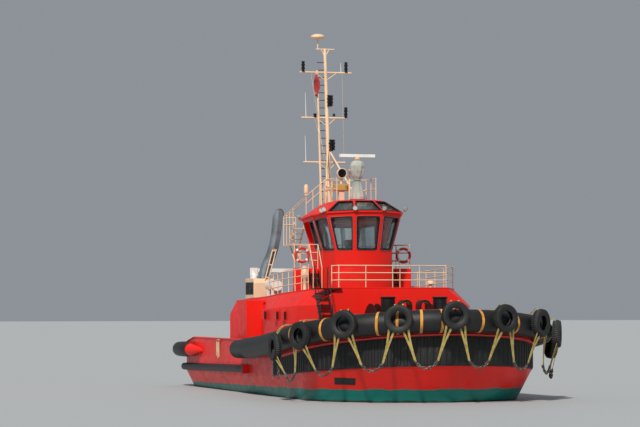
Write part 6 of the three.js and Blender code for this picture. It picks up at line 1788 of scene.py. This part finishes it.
# %% [markdown]
# Low on the bow is a shallow recess with a dark grille. It lies on the hull's own surface, so
# its corners come from the same straight blend between the waterline and the knuckle.

# %% Hull recess and mooring rope
RECESS_ROWS = [(0.72, 0.0), (0.74, 0.012), (0.98, 0.012), (1.0, 0.0)]  # height, distance outboard
ROPE_X, ROPE_R, BEND, HANK_TOP = -4.85, 0.012, 0.05, 2.26
ROPE_Y, HANK_LENGTH = -HALF_BEAM - 0.06, 5.15


def hull_side(angle, z, out):
    """A point on the starboard bow, by its angle from the stem and its height, moved outboard."""
    edge = np.array([BOW_START + BOW_LENGTH * np.cos(angle), -HALF_BEAM * np.sin(angle)])
    share = z / knuckle_at(edge[0])
    water = edge * [12.35 / STEM, 4.52 / HALF_BEAM]
    away = unit(np.array([HALF_BEAM * np.cos(angle), -BOW_LENGTH * np.sin(angle)]))
    return [*(water + (edge - water) * share + away * out), z]


recess_grid = []
for z, out in RECESS_ROWS:
    recess_grid.append([hull_side(a, z + 0.05 * (a - 0.93), out) for a in np.linspace(0.8, 1.02, 12)])
recess = surface(recess_grid, loop_columns=False, caps=False)
piece("hull_recess", recess, "gasket", smooth=50, solidify=0.006)

half_turn = np.linspace(0, np.pi, 14)
runs = []
for k, low in enumerate((1.62, 1.5, 1.56)):
    x = ROPE_X + 4 * BEND * k
    foot = circle((x + BEND, ROPE_Y, low), (-BEND, 0, 0), (0, 0, -BEND), half_turn)
    head = circle((x + 3 * BEND, ROPE_Y, HANK_TOP), (-BEND, 0, 0), (0, 0, BEND), half_turn)
    down = np.linspace([x, ROPE_Y, HANK_TOP], foot[0], 12)[:-1]
    runs += [down, foot, np.linspace(foot[-1], head[0], 12)[1:-1], head]
hank = np.vstack(runs)
hank_rope = piece("mooring_hank", tube(hank, ROPE_R, 10), "rope_fibre", smooth=50)
hank_length = float(np.linalg.norm(np.diff(hank, axis=0), axis=1).sum())
print("mooring hank", round(hank_length, 3), "metres")
peg_ends = [((ROPE_X - 0.08, ROPE_Y, HANK_TOP), (ROPE_X + 0.68, ROPE_Y, HANK_TOP))]
for x in (ROPE_X - 0.05, ROPE_X + 0.65):
    peg_ends.append(((x, -HALF_BEAM + 0.01, HANK_TOP), (x, ROPE_Y, HANK_TOP)))
piece("hank_peg", bars(peg_ends, 0.03, 12), "red_paint", smooth=50)
